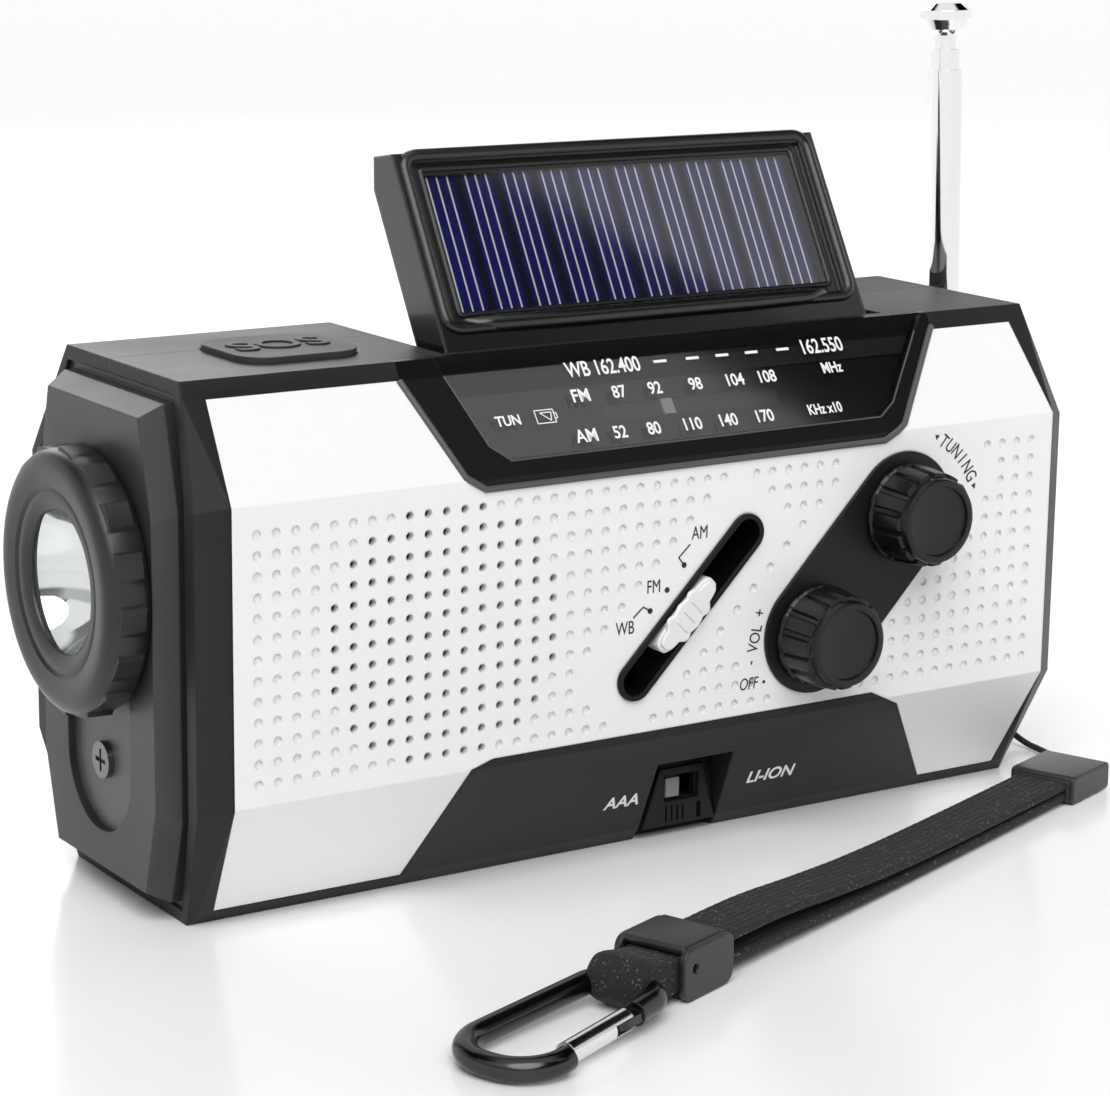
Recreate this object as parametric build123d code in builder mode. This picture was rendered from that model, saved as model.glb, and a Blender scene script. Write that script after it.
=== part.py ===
from build123d import *
import os
from math import atan2, cos, degrees, hypot, pi, radians, sin

os.makedirs("parts", exist_ok=True)

# Millimetres. X runs along the case towards the antenna, Y to the back, Z up.
# The origin is on the surface the radio stands on, under the middle of the case.

# ---- driving dimensions -------------------------------------------------------------------
HEIGHT = 74.0            # case, bottom to top
END_HALF = 71.3          # half length of the case at its top and bottom edges
MID_HALF = 73.4          # half length at mid height
DEPTH_TOP = 17.2         # half depth at the top and bottom edges
DEPTH_MID = 25.1         # half depth at mid height, without the front panel's crown
KINK_LOW, KINK_HIGH = 17.6, 58.1       # heights where the sloping faces start
CROWN = 28.0             # distance of the front panel's flat from the middle
CROWN_LOW, CROWN_HIGH = 18.6, 59.0     # the flat's lower and upper edges
PANEL_HALF = 69.4        # half length of the white panel at its flat
PANEL_TOP_Y, PANEL_TOP_Z = 18.5, 71.6
PANEL_FOOT_Y, PANEL_FOOT_Z = 18.9, 2.1
PANEL_END_HALF = 68.1    # half length of the white panel at its top and bottom edges
SKIN = 1.4               # thickness, front to back, of what lies in the front face
WALL = 2.2
RUNNING = 0.05           # radial clearance of a turning fit

SOCKET_X = 69.2          # where the end caps' flanges start
FLANGE_X = 71.0          # outer face of the flanges
CAP_STEP_X = 72.55
CAP_FACE_X = 75.7        # flat outer face of the end caps

GRILLE_PITCH_X, GRILLE_PITCH_Z = 2.85, 2.80
GRILLE_X0, GRILLE_Z0 = -65.8, 21.65
GRILLE_COLUMNS, GRILLE_ROWS = 47, 13
HOLE_R = 0.58
SPEAKER_X, SPEAKER_Z = -37.3, 38.45

VOLUME_AT = (24.97, 30.5)              # X, Z of the two knobs
TUNING_AT = (40.8, 46.9)
KNOB_FACE_Y = -36.7
KNOB_BASE_Y = -28.9
CONTROL_R = 8.9
SHAFT_R = 3.0

SLOT_LOW, SLOT_HIGH = (-6.55, 27.58), (12.34, 46.74)
SLOT_R = 2.85
BAND_TRAVEL = 4.1

LAMP_Z = 45.0            # height of the torch's axis, which runs along X at Y = 0
LID_AXIS_Y, LID_AXIS_Z = -10.57, 70.52
LID_TILT = 60.0          # the solar lid stands open at this angle
LID_X0, LID_X1 = -28.4, 45.0
TRAY_X0, TRAY_X1 = -30.0, 46.6
TRAY_FLOOR_Z = 66.2
TRAY_FRONT_Y = -14.4

ANTENNA_PIVOT = (79.4, 10.4, 65.5)
ANTENNA_LEAN = 2.0       # degrees that the mast leans towards the lamp end

CRANK_AT = (-28.0, 42.0)               # X, Z of the crank's shaft
GEAR_MODULE = 0.7
GEAR_TEETH, PINION_TEETH = 40, 10
PINION_AT = (CRANK_AT[0] + GEAR_MODULE * (GEAR_TEETH + PINION_TEETH) / 2, CRANK_AT[1])

STRAP_START = (65.5, -33.7)            # where the wrist strap leaves its end cap
STRAP_END = (-28.0, -69.1)             # middle of the slider
STRAP_WIDTH = 8.6
PLY = 1.3
TETHER_D = 1.0


# ---- helpers ------------------------------------------------------------------------------
def finish(piece, name):
    """Label a finished piece and write it"""
    piece.part.label = name
    export_step(piece.part, f"parts/{name}.step")


def block(low, high, mode=Mode.ADD):
    """A box between two corners"""
    middle = tuple((a + b) / 2 for a, b in zip(low, high))
    size = [b - a for a, b in zip(low, high)]
    with Locations(middle):
        Box(*size, mode=mode)


def bar(start, direction, radius, length, mode=Mode.ADD):
    """A round bar from a point along a direction"""
    with BuildSketch(Plane(origin=start, z_dir=direction)) as section:
        Circle(radius)
    extrude(section.sketch, amount=length, mode=mode)


def outline_xz(points, y):
    """A face seen from the front, its corners given in X and Z, at depth y"""
    with BuildSketch(Plane.XZ.offset(-y)) as face:
        Polygon(*points)
    return face.sketch


def slab_xz(points, y_front, y_back, mode=Mode.ADD):
    """A prism between two depths, its outline given in X and Z"""
    extrude(outline_xz(points, y_back), amount=y_back - y_front, mode=mode)


def slab_yz(points, x_from, x_to, mode=Mode.ADD):
    """A prism along X, its outline given in Y and Z"""
    with BuildSketch(Plane.YZ.offset(x_from)) as face:
        Polygon(*points)
    extrude(face.sketch, amount=x_to - x_from, mode=mode)


def capsule_xz(a, b, radius, y_front, y_back, mode=Mode.ADD):
    """A round-ended bar seen from the front, between two depths"""
    length = hypot(b[0] - a[0], b[1] - a[1])
    turn = degrees(atan2(b[1] - a[1], b[0] - a[0]))
    with BuildSketch(Plane.XZ.offset(-y_back)) as face:
        with Locations(((a[0] + b[0]) / 2, (a[1] + b[1]) / 2)):
            SlotCenterToCenter(length, 2 * radius, rotation=turn)
    extrude(face.sketch, amount=y_back - y_front, mode=mode)


def octagon(mid, end, low, high, kink_low, kink_high):
    """The case's section, the same at front and back, in Y and Z"""
    front = [(-end, high), (-mid, kink_high), (-mid, kink_low), (-end, low)]
    return front + [(-y, z) for y, z in reversed(front)]


def turned(profile, plane, mode=Mode.ADD):
    """A body of revolution about the plane's local Y axis; the profile is in radius and height"""
    with BuildSketch(plane) as half:
        Polygon(*profile)
    revolve(half.sketch, axis=Axis(plane.origin, plane.y_dir), mode=mode)


def keep_inside(a, b, c):
    """Trim away what lies beyond the plane through three points"""
    a, b, c = Vector(*a), Vector(*b), Vector(*c)
    plane = Plane(origin=a, z_dir=(b - a).cross(c - a))
    inner = plane.to_local_coords(Vector(0, 0, HEIGHT / 2)).Z
    split(bisect_by=plane, keep=Keep.TOP if inner > 0 else Keep.BOTTOM)


# ---- case outlines ------------------------------------------------------------------------
SECTION = [
    (-CROWN, CROWN_LOW), (-CROWN, CROWN_HIGH), (-PANEL_TOP_Y, PANEL_TOP_Z), (-DEPTH_TOP, HEIGHT),
    (DEPTH_TOP, HEIGHT), (DEPTH_MID, KINK_HIGH), (DEPTH_MID, KINK_LOW), (DEPTH_TOP, 0),
    (-DEPTH_TOP, 0), (-PANEL_FOOT_Y, PANEL_FOOT_Z),
]
ELEVATION = [
    (-END_HALF, 0), (-MID_HALF, KINK_LOW), (-MID_HALF, KINK_HIGH), (-END_HALF, HEIGHT),
    (END_HALF, HEIGHT), (MID_HALF, KINK_HIGH), (MID_HALF, KINK_LOW), (END_HALF, 0),
]
CAVITY = [
    (-23.4, 18.5), (-23.4, 58.5), (-13.3, HEIGHT - WALL), (16.0, HEIGHT - WALL),
    (DEPTH_MID - WALL, 57.7), (DEPTH_MID - WALL, 18.0), (16.0, WALL), (-14.4, WALL),
]
END_SOCKET = octagon(22.4, 16.4, 1.9, 72.1, 17.2, 58.5)
CAP_BASE = octagon(19.0, 15.3, 2.9, 70.9, 15.1, 56.8)
CAP_FACE = octagon(17.4, 14.0, 4.4, 69.1, 16.6, 55.9)
PANEL_OUTLINE = [
    (-PANEL_END_HALF, PANEL_FOOT_Z), (-PANEL_HALF, CROWN_LOW), (-PANEL_HALF, CROWN_HIGH),
    (-PANEL_END_HALF, PANEL_TOP_Z), (PANEL_END_HALF, PANEL_TOP_Z), (PANEL_HALF, CROWN_HIGH),
    (PANEL_HALF, CROWN_LOW), (PANEL_END_HALF, PANEL_FOOT_Z),
]
WINDOW_OUTLINE = [
    (-39.2, HEIGHT + 1), (-39.2, 71.6), (-34.2, 59.4), (-31.2, 57.6), (37.0, 57.8), (41.1, 59.8),
    (53.0, 72.0), (53.0, HEIGHT + 1),
]
GLASS_OUTLINE = [
    (-33.4, 75), (-29.0, 62.8), (-26.3, 60.8), (37.4, 61.0), (40.6, 62.7), (51.6, 73.6), (51.6, 75),
]
BEZEL_OUTLINE = [
    (-40.3, -1), (-33.3, 18.7), (-29.8, 19.8), (36.2, 19.9), (41.8, 17.2), (55.6, -1),
]

# Local frames of the two sloping stretches of the front: x along the case, y up the slope, z out.
DIAL_PLANE = Plane(
    origin=(0, -CROWN, CROWN_HIGH), x_dir=(1, 0, 0),
    z_dir=(0, -(PANEL_TOP_Z - CROWN_HIGH), CROWN - PANEL_TOP_Y),
)


def slope_box(plane, x0, x1, y0, y1, z0, z1, mode=Mode.ADD):
    """A box in the local frame of a sloping face"""
    with BuildSketch(plane.offset(z0)) as face:
        with Locations(((x0 + x1) / 2, (y0 + y1) / 2)):
            Rectangle(x1 - x0, y1 - y0)
    extrude(face.sketch, amount=z1 - z0, mode=mode)


# ---- construction solids, not written -----------------------------------------------------
with BuildPart() as envelope:
    slab_yz(SECTION, -MID_HALF, MID_HALF)
    slab_xz(ELEVATION, -30, 30, mode=Mode.INTERSECT)
    for side in (-1, 1):
        crown_low = (side * PANEL_HALF, -CROWN, CROWN_LOW)
        crown_high = (side * PANEL_HALF, -CROWN, CROWN_HIGH)
        edge_low = (side * MID_HALF, -DEPTH_MID, KINK_LOW)
        edge_high = (side * MID_HALF, -DEPTH_MID, KINK_HIGH)
        keep_inside(crown_low, crown_high, edge_high)
        keep_inside(crown_high, edge_high, (side * END_HALF, -DEPTH_TOP, HEIGHT))
        keep_inside(crown_low, edge_low, (side * END_HALF, -DEPTH_TOP, 0))

with BuildPart() as skin:
    add(envelope.part)
    with Locations((0, SKIN, 0)):
        add(envelope.part, mode=Mode.SUBTRACT)
    block((-80, -30, -1), (80, -10, HEIGHT + 1), mode=Mode.INTERSECT)

with BuildPart() as window_strip:
    add(skin.part)
    slab_xz(WINDOW_OUTLINE, -30, 0, mode=Mode.INTERSECT)

with BuildPart() as bezel_strip:
    add(skin.part)
    slab_xz(BEZEL_OUTLINE, -30, 0, mode=Mode.INTERSECT)

with BuildPart() as panel_strip:
    add(skin.part)
    slab_xz(PANEL_OUTLINE, -30, 0, mode=Mode.INTERSECT)
    add(window_strip.part, mode=Mode.SUBTRACT)
    add(bezel_strip.part, mode=Mode.SUBTRACT)


# ---- casings ------------------------------------------------------------------------------
LID_PIN_R = 1.2
SPLIT_Y = 4.0            # where the front and rear shells meet
SOS_LOW, SOS_HIGH = (-57.5, -10.4), (-39.2, 7.2)
SCREW_SPOTS = [(-64, 28), (-64, 61), (64, 28), (64, 61)]
BATTERY_LOW, BATTERY_HIGH = (12, 21), (62, 54)      # X, Z corners of the battery cover
NOTCH = [(-0.2, 13.6), (13.2, 13.6), (15.2, -1), (1.2, -1)]    # the source switch's recess
NOTCH_Y = -18.1          # and the depth of its upright floor


def sos_outline(grow, radius, z, height, mode=Mode.ADD):
    """The alarm button's rounded outline, grown all round"""
    middle = tuple((a + b) / 2 for a, b in zip(SOS_LOW, SOS_HIGH))
    size = [b - a + 2 * grow for a, b in zip(SOS_LOW, SOS_HIGH)]
    with BuildSketch(Plane.XY.offset(z)) as face:
        with Locations(middle):
            RectangleRounded(*size, radius)
    extrude(face.sketch, amount=height, mode=mode)


def hollow_case():
    """What both shells share: the inside, the end sockets, the lid's tray and the button hole"""
    slab_yz(CAVITY, -SOCKET_X, SOCKET_X, mode=Mode.SUBTRACT)
    for x in (-SOCKET_X - 5, SOCKET_X):
        slab_yz(END_SOCKET, x, x + 5, mode=Mode.SUBTRACT)
    block((TRAY_X0 - 1.2, TRAY_FRONT_Y - 1.4, TRAY_FLOOR_Z - 1.4), (TRAY_X1 + 1.2, 30, 80),
          mode=Mode.SUBTRACT)
    sos_outline(0.15, 4.6, HEIGHT - 4, 5, mode=Mode.SUBTRACT)


with BuildPart() as front_shell:
    add(envelope.part)
    block((-80, -30, -1), (80, SPLIT_Y, 80), mode=Mode.INTERSECT)
    hollow_case()
    add(panel_strip.part, mode=Mode.SUBTRACT)
    add(window_strip.part, mode=Mode.SUBTRACT)
    add(bezel_strip.part, mode=Mode.SUBTRACT)
    bar((SPEAKER_X, -30, SPEAKER_Z), (0, 1, 0), 18.2, 10, mode=Mode.SUBTRACT)
    capsule_xz(SLOT_LOW, SLOT_HIGH, SLOT_R, -30, -20, mode=Mode.SUBTRACT)
    capsule_xz(VOLUME_AT, TUNING_AT, 4.0, -30, -20, mode=Mode.SUBTRACT)
    slope_box(DIAL_PLANE, -33.4, 49.0, 1.6, 13.4, -9, -0.5, mode=Mode.SUBTRACT)
    block((-1.4, NOTCH_Y, 2.2), (16.4, NOTCH_Y + 1.2, 14.8))
    slab_xz(NOTCH, -30, NOTCH_Y, mode=Mode.SUBTRACT)
    block((5.6, -30, 5.6), (11.4, -14, 9.1), mode=Mode.SUBTRACT)
    for x, z in SCREW_SPOTS:
        bar((x, SPLIT_Y, z), (0, -1, 0), 3.4, SPLIT_Y + (25.5 if z < 50 else 20.5))
        bar((x, SPLIT_Y, z), (0, -1, 0), 1.2, 10, mode=Mode.SUBTRACT)
finish(front_shell, "front_shell")

with BuildPart() as rear_shell:
    add(envelope.part)
    block((-80, SPLIT_Y, -1), (80, 30, 80), mode=Mode.INTERSECT)
    hollow_case()
    for x, z in SCREW_SPOTS:
        bar((x, SPLIT_Y, z), (0, 1, 0), 4.0, 18.5)
        bar((x, SPLIT_Y, z), (0, 1, 0), 1.2, 8, mode=Mode.SUBTRACT)
        bar((x, 8, z), (0, 1, 0), 2.8, 20, mode=Mode.SUBTRACT)
    bar((CRANK_AT[0], 20, CRANK_AT[1]), (0, 1, 0), 5.0 + RUNNING, 10, mode=Mode.SUBTRACT)
    block((BATTERY_LOW[0] - 0.15, 20, BATTERY_LOW[1] - 0.15),
          (BATTERY_HIGH[0] + 0.15, 30, BATTERY_HIGH[1] + 0.15),
          mode=Mode.SUBTRACT)
finish(rear_shell, "rear_shell")

LABEL_CLEAR = 17.5       # no dimples this close to the tuning knob on the side of its name


def along(a, b, x, z):
    """Distance of a point along the line a-b, and how far it lies to its left"""
    length = hypot(b[0] - a[0], b[1] - a[1])
    ux, uz = (b[0] - a[0]) / length, (b[1] - a[1]) / length
    return (x - a[0]) * ux + (z - a[1]) * uz, (z - a[1]) * ux - (x - a[0]) * uz, length


def has_dimple(x, z):
    """True where the grille's pattern is not interrupted by a control or its lettering"""
    s, left, length = along(SLOT_LOW, SLOT_HIGH, x, z)
    if -6 < s < length + 6 and -6.6 < left < 8.8:
        return False
    s, left, length = along(VOLUME_AT, TUNING_AT, x, z)
    if -10.5 < s < length + 11 and -10.8 < left < 12.8:
        return False
    near_name = hypot(x - TUNING_AT[0], z - TUNING_AT[1]) < LABEL_CLEAR
    return not (near_name and x > TUNING_AT[0] + 4 and z > TUNING_AT[1])


through_holes, dimples = [], []
for column in range(GRILLE_COLUMNS):
    for row in range(GRILLE_ROWS):
        x = GRILLE_X0 + GRILLE_PITCH_X * column
        z = GRILLE_Z0 + GRILLE_PITCH_Z * row
        reach = hypot((x - SPEAKER_X) / GRILLE_PITCH_X, (z - SPEAKER_Z) / GRILLE_PITCH_Z)
        if reach < 6.5:
            through_holes.append((x, z))
        elif has_dimple(x, z):
            dimples.append((x, z))

with BuildPart() as front_panel:
    add(panel_strip.part)
    capsule_xz(SLOT_LOW, SLOT_HIGH, SLOT_R, -30, -20, mode=Mode.SUBTRACT)
    capsule_xz(VOLUME_AT, TUNING_AT, CONTROL_R, -30, -20, mode=Mode.SUBTRACT)
    with BuildSketch(Plane.XZ.offset(CROWN - 2)) as hole_faces:
        with Locations(*through_holes):
            Circle(HOLE_R)
    extrude(hole_faces.sketch, amount=3, mode=Mode.SUBTRACT)
    with BuildSketch(Plane.XZ.offset(CROWN - 0.4)) as dimple_faces:
        with Locations(*dimples):
            Circle(HOLE_R)
    extrude(dimple_faces.sketch, amount=1, mode=Mode.SUBTRACT)
finish(front_panel, "front_panel")

for side, name in ((-1, "left_end_cap"), (1, "right_end_cap")):
    with BuildPart() as end_cap:
        flange = min(side * SOCKET_X, side * FLANGE_X)
        slab_yz(END_SOCKET, flange, flange + FLANGE_X - SOCKET_X)
        step = min(side * FLANGE_X, side * CAP_STEP_X)
        slab_yz(CAP_BASE, step, step + CAP_STEP_X - FLANGE_X)
        with BuildSketch(Plane.YZ.offset(side * CAP_STEP_X)) as base_face:
            Polygon(*CAP_BASE)
        with BuildSketch(Plane.YZ.offset(side * CAP_FACE_X)) as flat_face:
            Polygon(*CAP_FACE)
        loft([base_face.sketch, flat_face.sketch])
        if side < 0:
            # seat of the torch: a bore for the turning head, and a smaller hole behind it
            bar((-80, 0, LAMP_Z), (1, 0, 0), 15.0 + RUNNING, 80 - 71.8, mode=Mode.SUBTRACT)
            bar((-80, 0, LAMP_Z), (1, 0, 0), 9.4, 15, mode=Mode.SUBTRACT)
            # sunk panel with the screw in it
            with BuildSketch(Plane.YZ.offset(-CAP_FACE_X - 1)) as recess:
                with Locations((0, 26.6)):
                    Rectangle(19.8, 14.4)
                with Locations((0, 19.4)):
                    Circle(9.9)
            extrude(recess.sketch, amount=2.2, mode=Mode.SUBTRACT)
            bar((-80, 0, 19.4), (1, 0, 0), 1.2, 15, mode=Mode.SUBTRACT)
        else:
            # boss for the mast's swivel, and the hole that the tether is knotted in
            ax, ay = ANTENNA_PIVOT[:2]
            block((72, ay - 5, 42), (ax, ay + 5, 60))
            bar((ax, ay, 42), (0, 0, 1), 5, 18)
            bar((ax, ay, 46), (0, 0, 1), 2.5 + RUNNING, 20, mode=Mode.SUBTRACT)
            bar((60, -2.5, 7.5), (1, 0, 0), TETHER_D / 2, 30, mode=Mode.SUBTRACT)
    finish(end_cap, name)

with BuildPart() as window_frame:
    add(window_strip.part)
    slab_xz(GLASS_OUTLINE, -30, 0, mode=Mode.SUBTRACT)
finish(window_frame, "window_frame")

with BuildPart() as dial_window:
    add(window_strip.part)
    slab_xz(GLASS_OUTLINE, -30, 0, mode=Mode.INTERSECT)
    with Locations((0, 0.35, 0)):
        add(envelope.part, mode=Mode.INTERSECT)
finish(dial_window, "dial_window")

POINTER_X = 2.9
GROOVE_S = 8.6           # height of the pointer's groove up the slope
with BuildPart() as dial_scale:
    slope_box(DIAL_PLANE, -33.4, 49.0, 1.6, 13.4, -2.4, -1.4)
    slope_box(DIAL_PLANE, -8.2, 22.6, GROOVE_S - 1.3, GROOVE_S + 1.3, -3, 0, mode=Mode.SUBTRACT)
finish(dial_scale, "dial_scale")

with BuildPart() as pointer:
    slope_box(DIAL_PLANE, POINTER_X - 0.95, POINTER_X + 0.95, GROOVE_S - 1.2, GROOVE_S + 1.2, -2.4, -1.5)
    slope_box(DIAL_PLANE, POINTER_X - 0.7, POINTER_X + 0.7, GROOVE_S - 0.8, GROOVE_S + 0.8, -6, -2.4)
    slope_box(DIAL_PLANE, POINTER_X - 2.5, POINTER_X + 2.5, GROOVE_S - 2, GROOVE_S + 2, -7, -6)
finish(pointer, "pointer")

with BuildPart() as bottom_bezel:
    add(bezel_strip.part)
    slab_xz(NOTCH, -30, 0, mode=Mode.SUBTRACT)
finish(bottom_bezel, "bottom_bezel")

with BuildPart() as source_plate:
    slab_xz([(1.7, 1.7), (14.6, 1.7), (12.3, 10.4), (4.7, 10.4)], NOTCH_Y - 0.8, NOTCH_Y - 0.05)
    block((5.4, -20, 5.4), (11.6, -17, 9.3), mode=Mode.SUBTRACT)
    for x in (5.7, 6.7, 7.7, 8.7):
        block((x, -20, 2.2), (x + 0.35, -17, 4.6), mode=Mode.SUBTRACT)
    block((11.3, -20, 2.2), (12.1, -17, 4.6), mode=Mode.SUBTRACT)
finish(source_plate, "source_switch_plate")

with BuildPart() as source_slider:
    block((5.9, -18.6, 5.9), (8.3, -15.4, 8.8))
    block((4.7, -15.4, 4.9), (9.5, -14.4, 10.1))
finish(source_slider, "source_slider")

with BuildPart() as control_plate:
    capsule_xz(VOLUME_AT, TUNING_AT, CONTROL_R, -28.5, -CROWN + SKIN)
    for x, z in (VOLUME_AT, TUNING_AT):
        bar((x, -30, z), (0, 1, 0), SHAFT_R + RUNNING, 10, mode=Mode.SUBTRACT)
finish(control_plate, "control_plate")

with BuildPart() as slot_liner:
    capsule_xz(SLOT_LOW, SLOT_HIGH, SLOT_R, -28.5, -23.4)
    capsule_xz(SLOT_LOW, SLOT_HIGH, SLOT_R - 0.75, -30, -20, mode=Mode.SUBTRACT)
finish(slot_liner, "slot_liner")

with BuildPart() as lid_tray:
    add(envelope.part)
    block((TRAY_X0 - 1.2, TRAY_FRONT_Y - 1.4, TRAY_FLOOR_Z - 1.4), (TRAY_X1 + 1.2, 30, 80),
          mode=Mode.INTERSECT)
    block((TRAY_X0, TRAY_FRONT_Y, TRAY_FLOOR_Z), (TRAY_X1, 30, 80), mode=Mode.SUBTRACT)
    bar((-50, LID_AXIS_Y, LID_AXIS_Z), (1, 0, 0), LID_PIN_R + RUNNING, 100, mode=Mode.SUBTRACT)
finish(lid_tray, "lid_tray")

# ---- solar lid: made standing open, in a frame on its hinge axis ----------------------------
TILT = radians(LID_TILT)
LID_SIDE = Plane(origin=(LID_X0, LID_AXIS_Y, LID_AXIS_Z), x_dir=(0, cos(TILT), sin(TILT)), z_dir=(1, 0, 0))
LID_FACE = Plane(origin=(0, LID_AXIS_Y, LID_AXIS_Z), x_dir=(1, 0, 0), z_dir=(0, -sin(TILT), cos(TILT)))
LID_HALF = 3.5           # half thickness
CELLS = (-24.2, 40.2, 7.3, 28.3)       # X from, to, and up the lid from, to

with BuildPart() as lid_frame:
    with BuildSketch(LID_SIDE) as lid_section:
        Polygon((0, LID_HALF), (31.5, LID_HALF), (33.3, -1.2), (29.2, -LID_HALF), (0, -LID_HALF))
        Circle(LID_HALF)
    extrude(lid_section.sketch, amount=LID_X1 - LID_X0)
    slope_box(LID_FACE, -25.6, 42.2, 5.0, 30.0, 2.7, 5, mode=Mode.SUBTRACT)
    slope_box(LID_FACE, *CELLS, 0.9, 5, mode=Mode.SUBTRACT)
    slope_box(LID_FACE, -8, 24, 12, 24, -5, -1.9, mode=Mode.SUBTRACT)
    bar((-50, LID_AXIS_Y, LID_AXIS_Z), (1, 0, 0), LID_PIN_R, 100, mode=Mode.SUBTRACT)
finish(lid_frame, "lid_frame")

with BuildPart() as solar_cells:
    slope_box(LID_FACE, *CELLS, 0.9, 1.9)
finish(solar_cells, "solar_cells")

with BuildPart() as lid_glass:
    slope_box(LID_FACE, *CELLS, 1.9, 2.7)
finish(lid_glass, "lid_glass")

with BuildPart() as reading_lamp:
    slope_box(LID_FACE, -8, 24, 12, 24, -3.3, -1.9)
finish(reading_lamp, "reading_lamp")

with BuildPart() as lid_pin:
    bar((TRAY_X0 - 1.1, LID_AXIS_Y, LID_AXIS_Z), (1, 0, 0), LID_PIN_R, TRAY_X1 - TRAY_X0 + 2.2)
finish(lid_pin, "lid_hinge_pin")

# ---- torch --------------------------------------------------------------------------------
LAMP_PLANE = Plane(origin=(0, 0, LAMP_Z), x_dir=(0, 0, 1), z_dir=(0, 1, 0))   # local y is +X
LAMP_BASE_X, LAMP_FACE_X = -76.0, -82.0
GRIPS = 16
with BuildPart() as lamp_bezel:
    turned([(13.0, -72.3), (15.0, -72.3), (15.0, LAMP_BASE_X), (17.9, LAMP_BASE_X), (18.2, -76.6),
            (18.0, -79.6), (17.4, -81.2), (16.6, LAMP_FACE_X), (13.2, LAMP_FACE_X), (12.2, -81.0),
            (9.9, -80.6), (9.9, -80.3), (13.0, -80.3)], LAMP_PLANE)
    for k in range(GRIPS):
        turn = 2 * pi * (k + 0.5) / GRIPS
        spoke = Plane(origin=(LAMP_BASE_X - 0.5, 17.4 * cos(turn), LAMP_Z + 17.4 * sin(turn)),
                      x_dir=(0, -sin(turn), cos(turn)), z_dir=(-1, 0, 0))
        with BuildSketch(spoke) as grip:
            Rectangle(2.6, 2.6)
        extrude(grip.sketch, amount=4.6)
finish(lamp_bezel, "lamp_bezel")

with BuildPart() as lamp_lens:
    bar((-80.3, 0, LAMP_Z), (1, 0, 0), 13.0, 1.2)
finish(lamp_lens, "lamp_lens")

with BuildPart() as lamp_reflector:
    turned([(2.6, -70.4), (9.3, -70.4), (9.3, -71.8), (12.7, -71.8), (12.7, -72.8), (9.6, -72.8),
            (11.4, -78.8), (10.6, -78.8), (8.2, -75.4), (5.4, -72.8), (2.6, -71.4)], LAMP_PLANE)
finish(lamp_reflector, "lamp_reflector")

with BuildPart() as lamp_led:
    bar((-70.4, 0, LAMP_Z), (1, 0, 0), 8.5, 1.2)
    bar((-70.4, 0, LAMP_Z), (-1, 0, 0), 2.2, 1.4)
finish(lamp_led, "lamp_led")

# ---- alarm button -------------------------------------------------------------------------
with BuildPart() as sos_button:
    sos_outline(0, 4.5, 72.4, 2.4)
    sos_outline(0.8, 5.0, 70.4, 1.2)
    sos_outline(-1.2, 3.4, 71.4, 1.2)
finish(sos_button, "sos_button")

# ---- controls -----------------------------------------------------------------------------
def knob(centre, shaft_to):
    """A ribbed knob on its shaft; the face is sunk"""
    x, z = centre
    # local y runs along +Y, out of the front towards the inside of the case
    plane = Plane(origin=(x, 0, z), x_dir=(1, 0, 0), z_dir=(0, 0, 1))
    turned([(0, -36.1), (5.1, -36.1), (5.3, KNOB_FACE_Y), (6.0, KNOB_FACE_Y), (6.4, -36.2), (6.6, -35.2),
            (7.3, -29.6), (7.3, KNOB_BASE_Y), (SHAFT_R, KNOB_BASE_Y), (SHAFT_R, shaft_to), (0, shaft_to)],
           plane)
    for k in range(14):
        turn = 2 * pi * k / 14
        groove = Plane(origin=(x + 7.4 * cos(turn), -29.6, z + 7.4 * sin(turn)),
                       x_dir=(-sin(turn), 0, cos(turn)), z_dir=(-0.1 * cos(turn), -1, -0.1 * sin(turn)))
        with BuildSketch(groove) as notch:
            Rectangle(1.1, 1.3)
        extrude(notch.sketch, amount=5.2, mode=Mode.SUBTRACT)


with BuildPart() as tuning_knob:
    knob(TUNING_AT, -16.0)
finish(tuning_knob, "tuning_knob")

with BuildPart() as volume_knob:
    knob(VOLUME_AT, -19.2)
finish(volume_knob, "volume_knob")

DRUM_R = 5.94            # the dial cord's drum: one radian of the knob moves the pointer this far
with BuildPart() as dial_drum:
    x, z = TUNING_AT
    for y, radius, width in ((-22.9, DRUM_R + 0.8, 0.5), (-22.4, DRUM_R, 1.0), (-21.4, DRUM_R + 0.8, 0.5)):
        bar((x, y, z), (0, 1, 0), radius, width)
    bar((x, -30, z), (0, 1, 0), SHAFT_R, 20, mode=Mode.SUBTRACT)
finish(dial_drum, "dial_drum")

with BuildPart() as band_slider:
    slot_turn = atan2(SLOT_HIGH[1] - SLOT_LOW[1], SLOT_HIGH[0] - SLOT_LOW[0])
    ux, uz = cos(slot_turn), sin(slot_turn)
    cx, cz = 1.9, 36.15
    ends = [(cx + k * 4.7 * ux, cz + k * 4.7 * uz) for k in (-1, 1)]
    pad = [(cx + k * 1.9 * ux, cz + k * 1.9 * uz) for k in (-1, 1)]
    capsule_xz(ends[0], ends[1], 1.85, -28.2, -25.0)
    capsule_xz(pad[0], pad[1], 1.6, -29.6, -28.2)
    capsule_xz(pad[0], pad[1], 1.2, -25.0, -21.6)
finish(band_slider, "band_slider")

# ---- inside -------------------------------------------------------------------------------
with BuildPart() as main_board:
    block((-14, -12, 6), (59.5, -10.4, 62))
finish(main_board, "main_board")

with BuildPart() as tuning_capacitor:
    x, z = TUNING_AT
    block((x - 10, -20.4, z - 10), (x + 10, -12, z + 10))
    bar((x, -30, z), (0, 1, 0), SHAFT_R + RUNNING, 14.4, mode=Mode.SUBTRACT)
finish(tuning_capacitor, "tuning_capacitor")

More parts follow.
